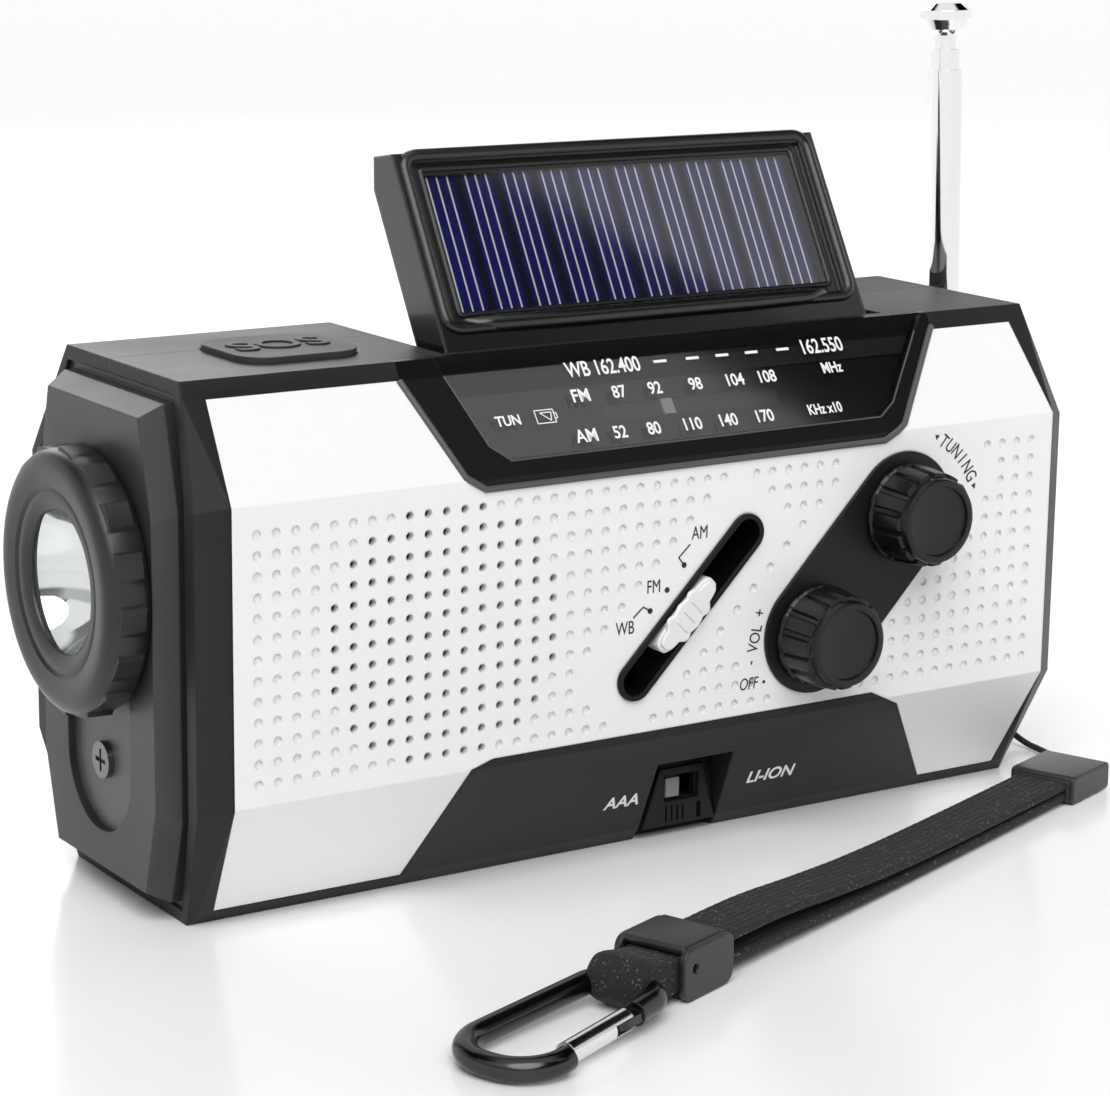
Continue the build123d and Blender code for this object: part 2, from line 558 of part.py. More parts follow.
with BuildPart() as volume_control:
    x, z = VOLUME_AT
    block((x - 5.6, -23.4, z - 7), (x + 5.6, -17.4, z + 7))
    block((x - 4, -17.4, z - 4), (x + 4, -12, z + 4))
    bar((x, -30, z), (0, 1, 0), SHAFT_R + RUNNING, 11.2, mode=Mode.SUBTRACT)
finish(volume_control, "volume_control")

with BuildPart() as band_switch:
    capsule_xz((cx - 6 * ux, cz - 6 * uz), (cx + 6 * ux, cz + 6 * uz), 3.4, -21.2, -12)
finish(band_switch, "band_switch")

SPEAKER_PLANE = Plane(origin=(SPEAKER_X, 0, SPEAKER_Z), x_dir=(1, 0, 0), z_dir=(0, 0, 1))
with BuildPart() as speaker_frame:
    turned([(17.6, -23.4), (19.8, -23.4), (19.8, -22.2), (18.2, -22.2), (10.4, -15.2), (10.0, -8.6),
            (0, -8.6), (0, -13.4), (9.0, -13.4), (9.4, -15.6), (16.8, -22.2), (17.6, -22.4)], SPEAKER_PLANE)
finish(speaker_frame, "speaker_frame")

with BuildPart() as speaker_cone:
    turned([(0, -17.6), (4.6, -17.0), (5.4, -16.6), (15.2, -22.0), (16.6, -22.3), (16.6, -22.6),
            (15.0, -22.5), (5.2, -17.3), (0, -18.2)], SPEAKER_PLANE)
finish(speaker_cone, "speaker_cone")

FERRITE_Y, FERRITE_Z = -3.0, 57.6
with BuildPart() as ferrite_rod:
    bar((-9, FERRITE_Y, FERRITE_Z), (1, 0, 0), 4.0, 62)
finish(ferrite_rod, "ferrite_rod")

with BuildPart() as ferrite_coil:
    bar((30, FERRITE_Y, FERRITE_Z), (1, 0, 0), 4.9, 16)
    bar((0, FERRITE_Y, FERRITE_Z), (1, 0, 0), 4.0, 60, mode=Mode.SUBTRACT)
finish(ferrite_coil, "ferrite_coil")

with BuildPart() as lithium_cell:
    bar((-62, 7.5, 13.4), (1, 0, 0), 9.2, 65)
finish(lithium_cell, "lithium_cell")

CELL_ROWS = (27.0, 38.0, 49.0)
CELL_Y, CELL_R, CELL_X0, CELL_LENGTH = 16.4, 5.2, 14.6, 43.7
with BuildPart() as aaa_cells:
    for z in CELL_ROWS:
        bar((CELL_X0, CELL_Y, z), (1, 0, 0), CELL_R, CELL_LENGTH)
        bar((CELL_X0 + CELL_LENGTH, CELL_Y, z), (1, 0, 0), 1.7, 0.8)
finish(aaa_cells, "aaa_cells")

with BuildPart() as battery_contacts:
    for z in CELL_ROWS:
        for x in (CELL_X0 - 0.8, CELL_X0 + CELL_LENGTH + 0.8):
            block((x, CELL_Y - 4.5, z - 4.5), (x + 0.8, CELL_Y + 4.5, z + 4.5))
finish(battery_contacts, "battery_contacts")

with BuildPart() as battery_cover:
    block((BATTERY_LOW[0], 23.2, BATTERY_LOW[1]), (BATTERY_HIGH[0], DEPTH_MID, BATTERY_HIGH[1]))
    block((34, 24.5, 50), (40, 26, 52.6), mode=Mode.SUBTRACT)
finish(battery_cover, "battery_cover")

with BuildPart() as case_screws:
    for x, z in SCREW_SPOTS:
        bar((x, 8, z), (0, 1, 0), 2.6, 1.6)
        bar((x, 8, z), (0, -1, 0), 1.2, 12)
        block((x - 1.6, 9.0, z - 0.3), (x + 1.6, 10, z + 0.3), mode=Mode.SUBTRACT)
        block((x - 0.3, 9.0, z - 1.6), (x + 0.3, 10, z + 1.6), mode=Mode.SUBTRACT)
    bar((-74.5, 0, 19.4), (-1, 0, 0), 2.6, 1.0)
    bar((-74.5, 0, 19.4), (1, 0, 0), 1.2, 9)
    block((-76, -1.6, 19.1), (-75.0, 1.6, 19.7), mode=Mode.SUBTRACT)
    block((-76, -0.3, 17.8), (-75.0, 0.3, 21.0), mode=Mode.SUBTRACT)
finish(case_screws, "case_screws")

# ---- hand crank and generator -------------------------------------------------------------
GEAR_Y0, GEAR_Y1 = 15.6, 18.4


def spur_gear(centre, teeth, phase):
    """A spur gear on an axis along Y, its straight-sided teeth thinner than half the pitch"""
    pitch_r = GEAR_MODULE * teeth / 2
    root_r, tip_r = pitch_r - 1.1 * GEAR_MODULE, pitch_r + 0.75 * GEAR_MODULE
    step = 2 * pi / teeth
    with BuildSketch(Plane.XZ.offset(-GEAR_Y1)) as face:
        with Locations(centre):
            Circle(root_r)
        for k in range(teeth):
            middle = phase + k * step
            corners = [(root_r - 0.2, -0.27), (tip_r, -0.13), (tip_r, 0.13), (root_r - 0.2, 0.27)]
            Polygon(*[(centre[0] + r * cos(middle + t * step), centre[1] + r * sin(middle + t * step))
                      for r, t in corners])
    extrude(face.sketch, amount=GEAR_Y1 - GEAR_Y0)


ARM_Y0, ARM_Y1 = 25.5, 31.0
ARM_LENGTH = 33.0
FOLD_X, GRIP_Y = CRANK_AT[0] + ARM_LENGTH - 3.0, 29.3
with BuildPart() as crank_arm:
    x, z = CRANK_AT
    capsule_xz((x, z), (x + ARM_LENGTH, z), 5.8, ARM_Y0, ARM_Y1)
    bar((x, ARM_Y0, z), (0, -1, 0), 5.0, 5.5)
    bar((x, 20, z), (0, -1, 0), 2.5, 7.5)
    block((x + 8.6, ARM_Y0 - 1, z - 3.9), (x + ARM_LENGTH + 8, ARM_Y1 + 1, z + 3.9), mode=Mode.SUBTRACT)
    bar((FOLD_X, GRIP_Y, z - 8), (0, 0, 1), 0.9, 16, mode=Mode.SUBTRACT)
finish(crank_arm, "crank_arm")

with BuildPart() as crank_gear:
    spur_gear(CRANK_AT, GEAR_TEETH, 0)
    bar((CRANK_AT[0], 0, CRANK_AT[1]), (0, 1, 0), 2.5, 30, mode=Mode.SUBTRACT)
finish(crank_gear, "crank_gear")

with BuildPart() as generator_gear:
    spur_gear(PINION_AT, PINION_TEETH, pi + pi / PINION_TEETH)
    bar((PINION_AT[0], GEAR_Y0, PINION_AT[1]), (0, -1, 0), 1.5, 8)
    bar((PINION_AT[0], 11, PINION_AT[1]), (0, -1, 0), 6.5, 14)
finish(generator_gear, "generator_gear")

with BuildPart() as generator:
    bar((PINION_AT[0], -6, PINION_AT[1]), (0, 1, 0), 10, 20)
    bar((PINION_AT[0], -4, PINION_AT[1]), (0, 1, 0), 7, 16, mode=Mode.SUBTRACT)
    bar((PINION_AT[0], 4, PINION_AT[1]), (0, 1, 0), 1.5 + RUNNING, 20, mode=Mode.SUBTRACT)
finish(generator, "generator")

with BuildPart() as crank_knuckle:
    z = CRANK_AT[1]
    block((FOLD_X - 3.0, GRIP_Y - 2.2, z - 3.6), (FOLD_X + 2.2, GRIP_Y + 2.2, z + 3.6))
    bar((FOLD_X, GRIP_Y, z - 5.6), (0, 0, 1), 0.85, 11.2)
    bar((FOLD_X - 3.0, GRIP_Y, z), (-1, 0, 0), 1.6, 15.8)
finish(crank_knuckle, "crank_knuckle")

with BuildPart() as crank_grip:
    z = CRANK_AT[1]
    bar((FOLD_X - 3.4, GRIP_Y, z), (-1, 0, 0), 3.5, 15)
    bar((FOLD_X, GRIP_Y, z), (-1, 0, 0), 1.6 + RUNNING, 30, mode=Mode.SUBTRACT)
finish(crank_grip, "crank_grip")

# ---- telescopic mast ------------------------------------------------------------------------
LEAN = radians(ANTENNA_LEAN)
MAST_DIR = (-sin(LEAN), 0, cos(LEAN))
MAST = Plane(origin=ANTENNA_PIVOT, x_dir=(cos(LEAN), 0, sin(LEAN)), z_dir=MAST_DIR)


def mast_bar(height, radius, length, mode=Mode.ADD):
    """A bar along the mast, from a height above its pivot"""
    with BuildSketch(MAST.offset(height)) as section:
        Circle(radius)
    extrude(section.sketch, amount=length, mode=mode)


with BuildPart() as antenna_swivel:
    ax, ay, az = ANTENNA_PIVOT
    bar((ax, ay, 47), (0, 0, 1), 2.5, 13.4)
    bar((ax, ay, 60.3), (0, 0, 1), 3.6, 1.5)
    for y in (ay - 2.9, ay + 1.5):
        block((ax - 2.1, y, 61.6), (ax + 2.1, y + 1.4, az))
        bar((ax, y, az), (0, 1, 0), 2.1, 1.4)
    bar((ax, ay - 2.5, az), (0, 1, 0), 0.8, 5)
finish(antenna_swivel, "antenna_swivel")

with BuildPart() as antenna_outer:
    tongue_plane = Plane(origin=(ax, ay + 1.4, az), x_dir=MAST.x_dir, z_dir=(0, -1, 0))
    with BuildSketch(tongue_plane) as tongue:
        Circle(2.3)
        with Locations((0, 2.2)):
            Rectangle(4.6, 4.4)
    extrude(tongue.sketch, amount=2.8)
    mast_bar(3.6, 2.7, 38.4)
    mast_bar(5.6, 2.25, 40, mode=Mode.SUBTRACT)
    bar((ax, ay - 5, az), (0, 1, 0), 0.8 + RUNNING, 10, mode=Mode.SUBTRACT)
finish(antenna_outer, "antenna_outer_tube")

with BuildPart() as antenna_middle:
    mast_bar(6.0, 2.2, 39.2)
    mast_bar(6.6, 1.65, 40, mode=Mode.SUBTRACT)
finish(antenna_middle, "antenna_middle_tube")

with BuildPart() as antenna_rod:
    mast_bar(7.0, 1.6, 40)
    with BuildSketch(Plane(origin=ANTENNA_PIVOT, x_dir=MAST.x_dir, z_dir=(0, -1, 0))) as tip:
        Polygon((0, 46.9), (1.75, 46.9), (1.75, 47.4), (3.4, 48.4), (4.2, 50.0), (4.0, 51.4),
                (2.6, 52.4), (0, 52.8))
    revolve(tip.sketch, axis=Axis(ANTENNA_PIVOT, MAST_DIR))
finish(antenna_rod, "antenna_rod")

# ---- wrist strap set, lying in front of the case ---------------------------------------------
span = hypot(STRAP_END[0] - STRAP_START[0], STRAP_END[1] - STRAP_START[1])
SX, SY = (STRAP_END[0] - STRAP_START[0]) / span, (STRAP_END[1] - STRAP_START[1]) / span
SLIDER_S = span          # the slider's middle, along the strap
BAR_Z = 3.15             # height of the carabiner's bar inside the strap's loop

# x along the strap, y up, z towards the back right
STRAP_SIDE = Plane(origin=(*STRAP_START, 0), x_dir=(SX, SY, 0), z_dir=(SY, -SX, 0))


def strap_band(points, mode=Mode.ADD, width=STRAP_WIDTH):
    """A band across the strap, its outline given along the strap and up"""
    with BuildSketch(STRAP_SIDE.offset(-width / 2)) as face:
        Polygon(*points)
    extrude(face.sketch, amount=width, mode=mode)


def ply(route):
    """One layer of the strap, following a list of points along the strap and up"""
    lower = [(s, z - PLY / 2) for s, z in route]
    upper = [(s, z + PLY / 2) for s, z in reversed(route)]
    strap_band(lower + upper)


UPPER_ROUTE = [(0, 2.95), (26, 2.85), (50, 3.1), (66, 4.0), (78, 5.0), (86, 5.2), (105, 5.2)]
LOWER_ROUTE = [(0, 1.35), (26, 1.15), (50, 1.1), (66, 1.4), (78, 1.9), (86, 2.0), (105, 2.0)]

with BuildPart() as strap_upper:
    ply(UPPER_ROUTE)
finish(strap_upper, "strap_upper")

with BuildPart() as strap_lower:
    ply(LOWER_ROUTE)
finish(strap_lower, "strap_lower")

with BuildPart() as strap_end_cap:
    strap_band([(0, 0.2), (0, 3.9), (-0.6, 4.4), (-11.2, 4.4), (-12, 3.4), (-12, 0.8), (-11.4, 0.2)],
               width=10.8)
finish(strap_end_cap, "strap_end_cap")

s0, s1 = SLIDER_S - 5.7, SLIDER_S + 5.7
with BuildPart() as strap_slider:
    strap_band([(s0 + 1, 0.6), (s0 + 1, 6.6), (s0 + 2, 7.4), (s1 - 2, 7.4), (s1 - 1, 6.6), (s1 - 1, 0.6)],
               width=9.2)
    with BuildSketch(STRAP_SIDE.offset(-5.4)) as cheek:
        with Locations((SLIDER_S, 3.6)):
            RectangleRounded(11.4, 7.0, 1.4)
    extrude(cheek.sketch, amount=0.9)
    with BuildSketch(STRAP_SIDE.offset(4.5)) as far_cheek:
        with Locations((SLIDER_S, 3.6)):
            RectangleRounded(11.4, 7.0, 1.4)
    extrude(far_cheek.sketch, amount=0.9)
    for low in (1.2, 4.4):
        strap_band([(s0 - 1, low), (s1 + 1, low), (s1 + 1, low + 1.6), (s0 - 1, low + 1.6)],
                   mode=Mode.SUBTRACT, width=STRAP_WIDTH + 0.3)
    with BuildSketch(STRAP_SIDE.offset(-8)) as pin_hole:
        with Locations((SLIDER_S, 3.6)):
            Circle(0.6)
    extrude(pin_hole.sketch, amount=16, mode=Mode.SUBTRACT)
finish(strap_slider, "strap_slider")

LOOP_S = SLIDER_S + 10.6
# the carabiner lies in a plane that comes down to the floor away from the strap
DROP = radians(2.8)
CARABINER = Plane(
    origin=(STRAP_START[0] + LOOP_S * SX, STRAP_START[1] + LOOP_S * SY, BAR_Z),
    x_dir=(SX * cos(DROP), SY * cos(DROP), -sin(DROP)),
    z_dir=(SX * sin(DROP), SY * sin(DROP), cos(DROP)),
)
WIRE_R = 1.6
GATE_FROM, GATE_TO = 8.4, 21.6         # the gate's ends, along the carabiner
GATE_Y = 6.1                           # the gate's line, to the front of the strap's middle
PIVOT_X = GATE_FROM + 1.6
with BuildLine(CARABINER) as wire:
    FilletPolyline((GATE_FROM - 1.4, GATE_Y), (0, GATE_Y - 0.6), (0, -4.4), (28.8, -6.8), (28.8, 7.4),
                   (GATE_TO + 0.5, 6.9), radius=(2.9, 2.9, 6, 6))


def swept_wire(radius, mode=Mode.ADD):
    """The carabiner's bent wire"""
    with BuildSketch(Plane(origin=wire.line @ 0, z_dir=wire.line % 0)) as section:
        Circle(radius)
    sweep(section.sketch, path=wire.line, mode=mode)


with BuildPart() as strap_loop:
    with BuildSketch(STRAP_SIDE.offset(-STRAP_WIDTH / 2)) as roll:
        with Locations((LOOP_S, 3.6)):
            Circle(3.4)
        with Locations(((105 + LOOP_S) / 2, 3.6)):
            Rectangle(LOOP_S - 105, 4.6)
    extrude(roll.sketch, amount=STRAP_WIDTH)
    swept_wire(WIRE_R + 0.1, mode=Mode.SUBTRACT)
finish(strap_loop, "strap_loop")

with BuildPart() as carabiner:
    swept_wire(WIRE_R)
    with BuildSketch(CARABINER.offset(-0.6)) as tang:
        with Locations((GATE_FROM - 0.4, GATE_Y)):
            Rectangle(4, 2.6)
        with Locations((PIVOT_X, GATE_Y)):
            Circle(1.3)
            Circle(0.5 + RUNNING, mode=Mode.SUBTRACT)
    extrude(tang.sketch, amount=1.2)
finish(carabiner, "carabiner")

with BuildPart() as carabiner_gate:
    gate_end = CARABINER.from_local_coords(Vector(PIVOT_X - 1.0, GATE_Y, 0))
    with BuildSketch(Plane(origin=gate_end, z_dir=CARABINER.x_dir)) as round_gate:
        Circle(1.5)
    extrude(round_gate.sketch, amount=GATE_TO - PIVOT_X + 0.6)
    with BuildSketch(CARABINER.offset(-0.75)) as fork:
        with Locations((PIVOT_X - 1.0, GATE_Y)):
            Rectangle(7.2, 4)
    extrude(fork.sketch, amount=1.5, mode=Mode.SUBTRACT)
    with BuildSketch(CARABINER.offset(-1.2)) as rivet:
        with Locations((PIVOT_X, GATE_Y)):
            Circle(0.5)
    extrude(rivet.sketch, amount=2.4)
finish(carabiner_gate, "carabiner_gate")

TETHER_ROUTE = [
    (CAP_FACE_X, -2.5, 7.5), (78.6, -2.7, 7.2), (81.2, -5.2, 3.6), (82.4, -10.0, 0.8), (82.0, -15.4, 0.7),
    (80.6, -20.6, 1.0), (79.4, -25.4, 1.9), (77.2, -29.2, 2.3),
]


def corner_radii(route):
    """The largest even arcs that a route's runs leave room for"""
    radii = []
    for a, b, c in zip(route, route[1:], route[2:]):
        run_in, run_out = Vector(*b) - Vector(*a), Vector(*c) - Vector(*b)
        turn = radians(run_in.get_angle(run_out))
        radii.append(0.45 * min(run_in.length, run_out.length) / (sin(turn / 2) / cos(turn / 2)))
    return radii


TETHER_RADII = corner_radii(TETHER_ROUTE)
print("tether radii", [round(r, 1) for r in TETHER_RADII])
with BuildPart() as tether_cord:
    with BuildLine() as tether_line:
        FilletPolyline(*TETHER_ROUTE, radius=tuple(TETHER_RADII))
    with BuildSketch(Plane(origin=tether_line.line @ 0, z_dir=tether_line.line % 0)) as cord_section:
        Circle(TETHER_D / 2)
    sweep(cord_section.sketch, path=tether_line.line)
print("tether length", round(sum(edge.length for edge in tether_line.edges()), 1),
      "volume over section", round(tether_cord.part.volume / (pi * TETHER_D ** 2 / 4), 1))
finish(tether_cord, "tether_cord")
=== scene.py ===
"""An emergency radio with a solar lid, torch, whip aerial and wrist strap, on a pale floor."""

from math import atan2, cos, hypot, pi, radians, sin

import bmesh
import bpy
from mathutils import Matrix, Vector


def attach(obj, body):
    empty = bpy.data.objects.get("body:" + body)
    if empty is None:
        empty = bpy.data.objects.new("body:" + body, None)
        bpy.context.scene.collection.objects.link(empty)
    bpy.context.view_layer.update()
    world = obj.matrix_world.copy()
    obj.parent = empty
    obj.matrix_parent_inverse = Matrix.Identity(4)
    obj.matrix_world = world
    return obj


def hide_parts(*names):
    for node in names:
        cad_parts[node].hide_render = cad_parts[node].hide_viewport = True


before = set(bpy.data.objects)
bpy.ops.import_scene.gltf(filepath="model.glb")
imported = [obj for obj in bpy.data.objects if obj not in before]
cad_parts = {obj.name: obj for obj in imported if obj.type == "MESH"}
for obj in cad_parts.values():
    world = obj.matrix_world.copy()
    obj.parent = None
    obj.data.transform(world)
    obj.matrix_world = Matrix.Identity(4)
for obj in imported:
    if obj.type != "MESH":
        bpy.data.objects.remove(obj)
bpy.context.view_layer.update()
MM = 0.001
scene = bpy.context.scene
scene.view_settings.view_transform = "Standard"

# ---- camera -------------------------------------------------------------------------------
AZIMUTH, ELEVATION, ROLL = radians(33.141), radians(12.91), radians(0.689)
TARGET = Vector((-1.779, 0, 40.617)) * MM
DISTANCE = 467.178 * MM
forward = Vector((sin(AZIMUTH) * cos(ELEVATION), cos(AZIMUTH) * cos(ELEVATION), -sin(ELEVATION)))
level = Vector((cos(AZIMUTH), -sin(AZIMUTH), 0))
upward = level.cross(forward)
right = level * cos(ROLL) + upward * sin(ROLL)
up = upward * cos(ROLL) - level * sin(ROLL)
camera_data = bpy.data.cameras.new("camera")
camera_data.lens = 102.76
camera_data.sensor_width = 36
camera = bpy.data.objects.new("camera", camera_data)
scene.collection.objects.link(camera)
turn = Matrix((right, up, -forward)).transposed().to_4x4()
camera.matrix_world = Matrix.Translation(TARGET - forward * DISTANCE) @ turn
scene.camera = camera

# ---- where the strap lies, in mm ------------------------------------------------------------
STRAP_START = Vector((65.5, -33.7, 0))
STRAP_END = Vector((-28, -69.1, 0))
ALONG = (STRAP_END - STRAP_START).normalized()
STRAP_TURN = -atan2(ALONG.y, ALONG.x)

# ---- materials ----------------------------------------------------------------------------
MOTTLE = 0.05                       # patches of the broad change of colour, per mm
COAT_ROUGHNESS = 0.04
PAINTED_EDGE_FROM, PAINTED_EDGE_TO = 0.52, 0.62     # the pointiness over which an edge turns paler: a painted highlight on convex edges


def node(tree, kind, **values):
    """A new node, each value put in the setting or the input socket of its name"""
    made = tree.nodes.new(kind)
    for key, value in values.items():
        if hasattr(made, key):
            setattr(made, key, value)
        else:
            made.inputs[key.replace("_", " ")].default_value = value
    return made


def fade(tree, value, start, end, low=0.0, high=1.0):
    """A socket that runs from low to high while value runs from start to end"""
    ramp = node(tree, "ShaderNodeMapRange", From_Min=start, From_Max=end, To_Min=low, To_Max=high)
    tree.links.new(value, ramp.inputs["Value"])
    return ramp.outputs["Result"]


def blend(tree, factor, first, second):
    """A socket that mixes two colours, each of them a socket or a tuple"""
    mix = node(tree, "ShaderNodeMixRGB", blend_type="MIX")
    tree.links.new(factor, mix.inputs["Fac"])
    for socket, colour in ((mix.inputs["Color1"], first), (mix.inputs["Color2"], second)):
        if isinstance(colour, tuple):
            socket.default_value = (*colour, 1)
        else:
            tree.links.new(colour, socket)
    return mix.outputs["Color"]


def surface(name, color, rough=0.45, metal=0.0, grain=3.0, bump=0.1, vary=0.15, edge=0.3,
            spread=0.1, coat=0.0, sheen=0.0, alpha=1.0, ior=1.5, stretch=(1, 1, 1), painted_highlight=0.0):
    """A plastic, metal or rubber: colour and gloss that vary, a fine grain, softened edges, and optionally a
    painted highlight that pales the convex edges.
    grain is in bumps per millimetre, and edge is the rounding's radius in millimetres."""
    material = bpy.data.materials.new(name)
    material.use_nodes = True
    tree = material.node_tree
    link = tree.links.new
    shader = tree.nodes["Principled BSDF"]
    shader.inputs["Metallic"].default_value = metal
    shader.inputs["Coat Weight"].default_value = coat
    shader.inputs["Coat Roughness"].default_value = COAT_ROUGHNESS
    shader.inputs["Sheen Weight"].default_value = sheen
    shader.inputs["Alpha"].default_value = alpha
    shader.inputs["IOR"].default_value = ior
    place = node(tree, "ShaderNodeTexCoord")
    mapping = node(tree, "ShaderNodeMapping")
    mapping.inputs["Scale"].default_value = tuple(s / MM for s in stretch)
    link(place.outputs["Object"], mapping.inputs["Vector"])
    fine = node(tree, "ShaderNodeTexNoise", Scale=grain, Detail=3.0)
    broad = node(tree, "ShaderNodeTexNoise", Scale=MOTTLE, Detail=4.0)
    for noise in (fine, broad):
        link(mapping.outputs["Vector"], noise.inputs["Vector"])
    base = blend(tree, broad.outputs["Fac"], tuple(c * (1 - vary) for c in color),
                 tuple(min(1, c * (1 + vary)) for c in color))
    # painted highlight: convex edges, found by pointiness, are made paler in the base colour
    if painted_highlight:
        shape = node(tree, "ShaderNodeNewGeometry")
        painted_glint = fade(tree, shape.outputs["Pointiness"], PAINTED_EDGE_FROM, PAINTED_EDGE_TO, high=painted_highlight)
        base = blend(tree, painted_glint, base, tuple(min(1, 2.2 * c + 0.03) for c in color))
    link(base, shader.inputs["Base Color"])
    gloss = fade(tree, broad.outputs["Fac"], 0, 1, max(0.02, rough - spread), min(1.0, rough + spread))
    link(gloss, shader.inputs["Roughness"])
    relief = node(tree, "ShaderNodeBump", Strength=bump, Distance=0.05 * MM)
    link(fine.outputs["Fac"], relief.inputs["Height"])
    if edge:
        soft = node(tree, "ShaderNodeBevel", Radius=edge * MM)
        soft.samples = 4
        link(soft.outputs["Normal"], relief.inputs["Normal"])
    link(relief.outputs["Normal"], shader.inputs["Normal"])
    return material


def woven(name, color, fleck, pitch=0.55):
    """Braided cord: rows of plaited threads, with pale flecks where a thread crosses over.
    pitch is a plait's length in millimetres."""
    material = surface(name, color, rough=0.85, grain=9, bump=0.4, vary=0.3, edge=0, sheen=0.04)
    tree = material.node_tree
    link = tree.links.new
    shader = tree.nodes["Principled BSDF"]
    place = next(n for n in tree.nodes if n.type == "MAPPING")
    plait = node(tree, "ShaderNodeTexVoronoi", Scale=1 / pitch)
    plait.feature = "F1"
    stretch = node(tree, "ShaderNodeMapping")
    stretch.inputs["Rotation"].default_value = (0, 0, STRAP_TURN)
    stretch.inputs["Scale"].default_value = (0.55, 1.3, 1.3)
    link(place.outputs["Vector"], stretch.inputs["Vector"])
    link(stretch.outputs["Vector"], plait.inputs["Vector"])
    crossings = fade(tree, plait.outputs["Distance"], 0.30, 0.06)
    patch = node(tree, "ShaderNodeTexNoise", Scale=0.7, Detail=2.0)
    link(place.outputs["Vector"], patch.inputs["Vector"])
    flecked = node(tree, "ShaderNodeMath", operation="MULTIPLY")
    link(crossings, flecked.inputs[0])
    link(fade(tree, patch.outputs["Fac"], 0.44, 0.62), flecked.inputs[1])
    plain = shader.inputs["Base Color"].links[0].from_socket
    link(blend(tree, flecked.outputs["Value"], plain, fleck), shader.inputs["Base Color"])
    relief = next(n for n in tree.nodes if n.type == "BUMP")
    relief.inputs["Distance"].default_value = 0.12 * MM
    relief.inputs["Strength"].default_value = 0.8
    link(plait.outputs["Distance"], relief.inputs["Height"])
    relief.invert = True
    return material


CHARCOAL = surface("case_charcoal", (0.0115, 0.0128, 0.0122), rough=0.4, grain=5, bump=0.06, edge=0.5,
                   ior=1.27, painted_highlight=0.25)
CAP = surface("cap_charcoal", (0.018, 0.0195, 0.0187), rough=0.42, grain=5, bump=0.06, edge=0.35, painted_highlight=0.3)
WHITE = surface("panel_white", (0.86, 0.86, 0.86), rough=0.4, grain=4, bump=0.03, vary=0.015, edge=0.45)
BLACK = surface("gloss_black", (0.003, 0.003, 0.0035), rough=0.3, spread=0.05, grain=1.5, bump=0.02,
                ior=1.3, edge=0.3)
LIDBLACK = surface("lid_black", (0.005, 0.005, 0.005), rough=0.2, spread=0.05, grain=4, bump=0.03,
                   coat=0.3, edge=0.7)
KNOB = surface("knob_black", (0.006, 0.006, 0.0062), rough=0.24, grain=5, bump=0.04, edge=0.12, ior=1.4)
PLATE = surface("control_black", (0.009, 0.0095, 0.0093), rough=0.4, grain=5, bump=0.06, edge=0.4, ior=1.3)
LAMPBLACK = surface("lamp_black", (0.009, 0.010, 0.010), rough=0.34, grain=5, bump=0.05, edge=0.2, painted_highlight=0.3)
CHROME = surface("chrome", (0.86, 0.87, 0.88), rough=0.07, metal=1, spread=0.03, grain=2, bump=0.01,
                 vary=0.03, edge=0.1)
STEEL = surface("steel", (0.5, 0.5, 0.5), rough=0.28, metal=1, spread=0.08, grain=6, bump=0.04, edge=0.15)
GUNMETAL = surface("gunmetal", (0.06, 0.061, 0.063), rough=0.22, metal=1, spread=0.06, grain=4, bump=0.03,
                   edge=0.15)
SILVER = surface("gate_silver", (0.78, 0.78, 0.8), rough=0.16, metal=1, spread=0.05, grain=4, bump=0.02,
                 edge=0.1)
FITTING = surface("fitting_black", (0.016, 0.016, 0.017), rough=0.33, grain=5, bump=0.05, edge=0.35)
SCALE = surface("dial_black", (0.008, 0.008, 0.009), rough=0.5, grain=4, bump=0.02, edge=0.05)
GROOVE = surface("dial_groove", (0.05, 0.05, 0.052), rough=0.5, grain=4, bump=0.02, edge=0.05)
PRINT = surface("print_white", (0.85, 0.86, 0.85), rough=0.5, grain=5, bump=0.02, vary=0.02, edge=0)
INK = surface("print_black", (0.02, 0.02, 0.022), rough=0.5, grain=5, bump=0.02, edge=0)
PALE = surface("slider_pale", (0.80, 0.80, 0.79), rough=0.4, grain=4, bump=0.05, vary=0.03, edge=0.2)
POINTER = surface("pointer_white", (0.8, 0.8, 0.78), rough=0.4, grain=4, bump=0.03, vary=0.03, edge=0.1)
RUBBER = surface("alarm_rubber", (0.028, 0.030, 0.029), rough=0.55, grain=7, bump=0.12, edge=0.4)
CELLS = surface("cells_navy", (0.004, 0.004, 0.13), rough=0.22, grain=0.8, bump=0.02, vary=0.5, edge=0,
                coat=0.5)
CELLGAP = surface("cells_gap", (0.003, 0.003, 0.02), rough=0.3, grain=2, bump=0.02, vary=0.3, edge=0)
GLASS = surface("window_glass", (0.002, 0.002, 0.002), rough=0.05, spread=0.02, grain=1, bump=0.004,
                alpha=0.36, ior=2.4, edge=0)
CLEAR = surface("lid_clear", (0.001, 0.001, 0.004), rough=0.05, spread=0.02, grain=1, bump=0.004,
                alpha=0.33, ior=2.7, edge=0)
EDGING = surface("edging_grey", (0.075, 0.078, 0.076), rough=0.4, grain=5, bump=0.05, edge=0)
SCREW = surface("screw_dark", (0.2, 0.2, 0.2), rough=0.3, metal=1, spread=0.08, grain=6, bump=0.05,
                edge=0.1)
LENS = surface("lens_glass", (0.7, 0.75, 0.75), rough=0.04, spread=0.02, grain=1, bump=0.004, alpha=0.10,
               edge=0)
BOARD = surface("board_green", (0.02, 0.13, 0.06), rough=0.4, grain=2, bump=0.1)
PART = surface("part_grey", (0.25, 0.25, 0.26), rough=0.5, grain=3, bump=0.1)
FERRITE = surface("ferrite", (0.05, 0.05, 0.05), rough=0.7, grain=5, bump=0.3)
